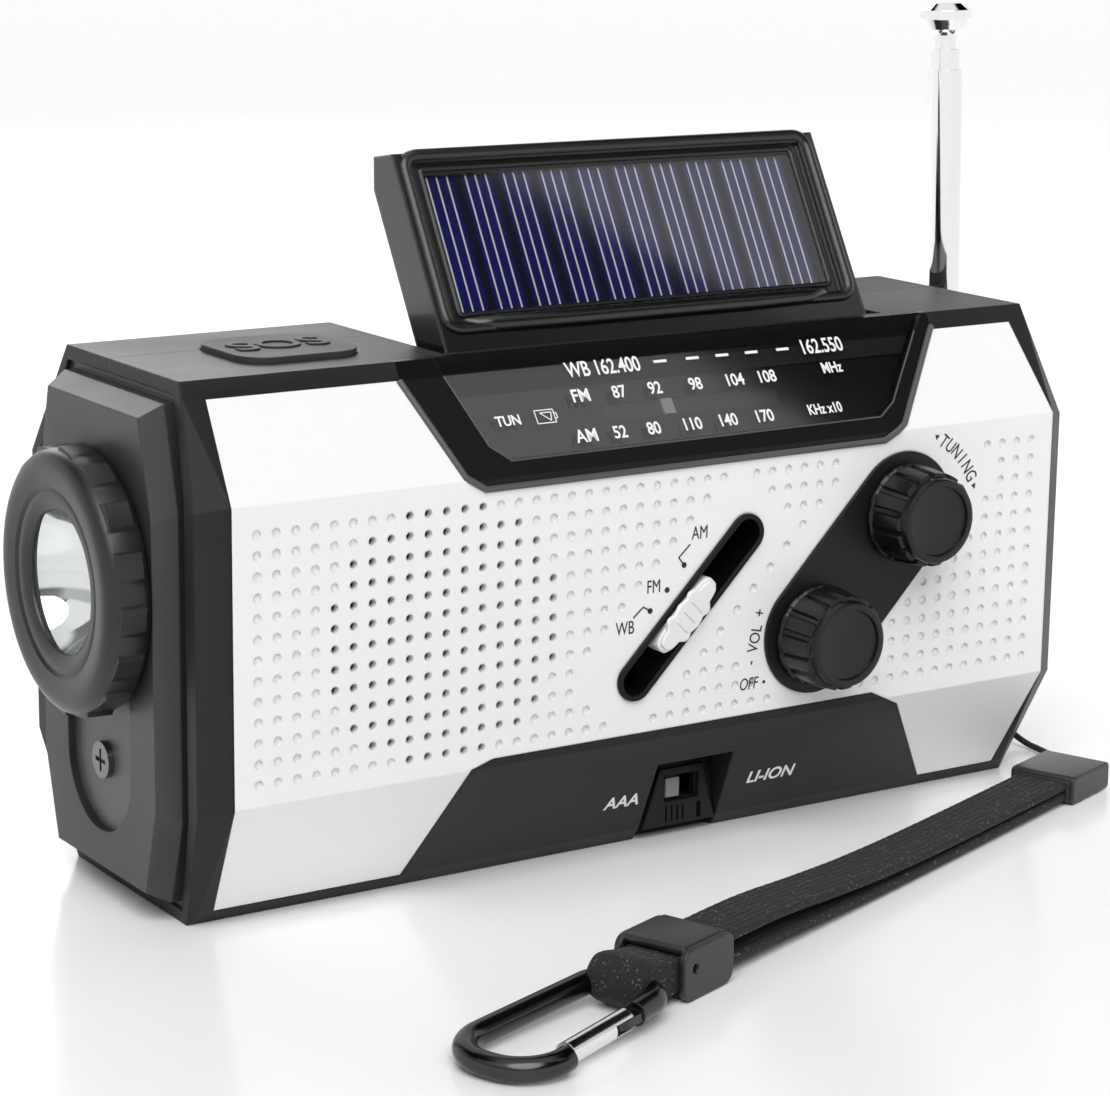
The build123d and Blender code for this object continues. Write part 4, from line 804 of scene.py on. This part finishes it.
roll_curve.use_fill_caps = True
piece(roll_curve, "lid_roll", LIDBLACK, "lid", LID)
GROUPS = 10
STRIP_FROM, STRIP_TO = 0.1, 5.1             # a strip's edges from its group's start
LINES_AT, LINE_HALF = (0.85, 2.5, 4.2), 0.13
CELL_FACE, STRIP_FACE, LINE_FACE = 1.9, 1.96, 2.0


def cell_strip(x0, x1, low, high):
    return plate([[(x0, CELL_Y0), (x1, CELL_Y0), (x1, CELL_Y1), (x0, CELL_Y1)]], low, high)


strips, lines = [], []
for k in range(GROUPS):
    start = CELL_X0 + k * (CELL_X1 - CELL_X0) / GROUPS
    strips.append(cell_strip(start + STRIP_FROM, start + STRIP_TO, CELL_FACE, STRIP_FACE))
    lines += [cell_strip(start + x - LINE_HALF, start + x + LINE_HALF, STRIP_FACE,
                         LINE_FACE) for x in LINES_AT]
piece(join(strips), "cell_strips", CELLS, "lid", LID)
piece(join(lines), "cell_lines", PRINT, "lid", LID)

# ---- alarm button lettering, bezel lettering ------------------------------------------------------
label("SOS", "alarm_mark", -48.35, -1.6, 6.2, TOP, RUBBER, body="sos_button", deep=0.25, bold=0.12,
      width=0.95)
label("AAA", "source_aaa", -4.1, -12.3, 2.3, FOOT, PRINT, width=0.9, bold=0.06)
label("LI-ION", "source_lithium", 22.4, -12.2, 2.3, FOOT, PRINT, width=0.9, bold=0.06)

# ---- floor and light --------------------------------------------------------------------------------
floor_material = surface("floor_white", (0.95, 0.95, 0.95), rough=0.2, spread=0.03, grain=0.1, bump=0.0,
                         vary=0.0, edge=0)
shape = bmesh.new()
bmesh.ops.create_grid(shape, x_segments=2, y_segments=2, size=3.0)
floor_mesh = bpy.data.meshes.new("floor")
shape.to_mesh(floor_mesh)
shape.free()
floor_mesh.materials.append(floor_material)
floor = bpy.data.objects.new("floor", floor_mesh)
scene.collection.objects.link(floor)


def light(name, kind, power, heading, where=(0, 0, 0), **values):
    data = bpy.data.lights.new(name, kind)
    data.energy = power
    for key, value in values.items():
        setattr(data, key, value)
    made = bpy.data.objects.new(name, data)
    scene.collection.objects.link(made)
    made.location = where
    made.rotation_euler = Vector(heading).to_track_quat("-Z", "Y").to_euler()


BACK_AT, BACK_AIM = Vector((0.1, 0.75, 0.55)), Vector((0, 0, 0.05))
light("key", "SUN", 2.3, (0.35, 0.62, -0.9), angle=radians(50))
light("back", "AREA", 3, BACK_AIM - BACK_AT, BACK_AT, shape="RECTANGLE", size=0.6, size_y=0.6)

# ---- world: white to the camera, an even light on rough surfaces, a studio in glossy ones -----------
AMBIENT = 0.52
STOPS = [        # the studio's brightness round the horizon: a share of the turn from -X, and a grey
    (0.0, 0.45), (0.10, 0.5), (0.125, 0.04), (0.19, 0.03), (0.21, 0.1), (0.42, 0.05), (0.45, 0.8),
    (0.53, 1.0),
    (0.75, 1.0), (0.80, 0.55), (1.0, 0.45),
]
PANEL_EDGE = 0.0015      # how soft a panel's edge is
PANELS_MEET = -0.44      # the direction's Y where the dial's panel gives way to the lid's
HORIZON = (0.32, 0.26)   # each pair is the direction's Z over which one zone turns to the next
RAISED = (0.5, 0.54)
OVERHEAD = (0.84, 0.90)

world = bpy.data.worlds.new("studio")
scene.world = world
world.use_nodes = True
tree = world.node_tree
link = tree.links.new
white = tree.nodes["Background"]
white.inputs["Strength"].default_value = 1.0
white.inputs["Color"].default_value = (1, 1, 1, 1)
ambient = node(tree, "ShaderNodeBackground", Strength=AMBIENT)
studio = node(tree, "ShaderNodeBackground", Strength=1.0)
direction = node(tree, "ShaderNodeTexCoord")
split = node(tree, "ShaderNodeSeparateXYZ")
link(direction.outputs["Generated"], split.inputs["Vector"])
heading = node(tree, "ShaderNodeMath", operation="ARCTAN2")
link(split.outputs["Y"], heading.inputs[0])
link(split.outputs["X"], heading.inputs[1])
bands = node(tree, "ShaderNodeValToRGB")
link(fade(tree, heading.outputs["Value"], -pi, pi), bands.inputs["Fac"])
ramp = bands.color_ramp
while len(ramp.elements) < len(STOPS):
    ramp.elements.new(0.5)
for element, (where, value) in zip(ramp.elements, STOPS):
    element.position = where
    element.color = (value, value, value, 1)


def mirrored(at, x, y, height):
    """Where the camera's view of a point on a flat face, in mm, bounces to"""
    spot = at @ Vector((x * MM, y * MM, height * MM))
    face = at.to_3x3() @ Vector((0, 0, 1))
    view = (spot - camera.matrix_world.translation).normalized()
    return view - 2 * view.dot(face) * face


def edge_of_light(ends, bright_side):
    """A large panel of light whose straight edge is seen in a glossy face between two points"""
    first, second = ends
    across = first.cross(second).normalized() * bright_side
    facing = node(tree, "ShaderNodeVectorMath", operation="DOT_PRODUCT")
    link(direction.outputs["Generated"], facing.inputs[0])
    facing.inputs[1].default_value = across
    return fade(tree, facing.outputs["Value"], -PANEL_EDGE, PANEL_EDGE)


lid_panel = edge_of_light((mirrored(LID, -12.1, 28.9, 2.7), mirrored(LID, 21.0, 8.25, 2.7)), 1)
dial_panel = edge_of_light((mirrored(DIAL, 6.2, 18.3, -0.3), mirrored(DIAL, 25.6, 2.65, -0.3)), -1)
nearer = node(tree, "ShaderNodeMath", operation="GREATER_THAN")
nearer.inputs[1].default_value = PANELS_MEET
link(split.outputs["Y"], nearer.inputs[0])
panels = blend(tree, nearer.outputs["Value"], lid_panel, dial_panel)
above = split.outputs["Z"]
glossy = blend(tree, fade(tree, above, *HORIZON), bands.outputs["Color"], (1, 1, 1))
glossy = blend(tree, fade(tree, above, *RAISED), glossy, panels)
glossy = blend(tree, fade(tree, above, *OVERHEAD), glossy, (0.9, 0.9, 0.9))
link(glossy, studio.inputs["Color"])
path = node(tree, "ShaderNodeLightPath")
rough_or_camera = node(tree, "ShaderNodeMixShader")
link(path.outputs["Is Camera Ray"], rough_or_camera.inputs["Fac"])
link(ambient.outputs["Background"], rough_or_camera.inputs[1])
link(white.outputs["Background"], rough_or_camera.inputs[2])
all_rays = node(tree, "ShaderNodeMixShader")
link(path.outputs["Is Glossy Ray"], all_rays.inputs["Fac"])
link(rough_or_camera.outputs["Shader"], all_rays.inputs[1])
link(studio.outputs["Background"], all_rays.inputs[2])
link(all_rays.outputs["Shader"], tree.nodes["World Output"].inputs["Surface"])
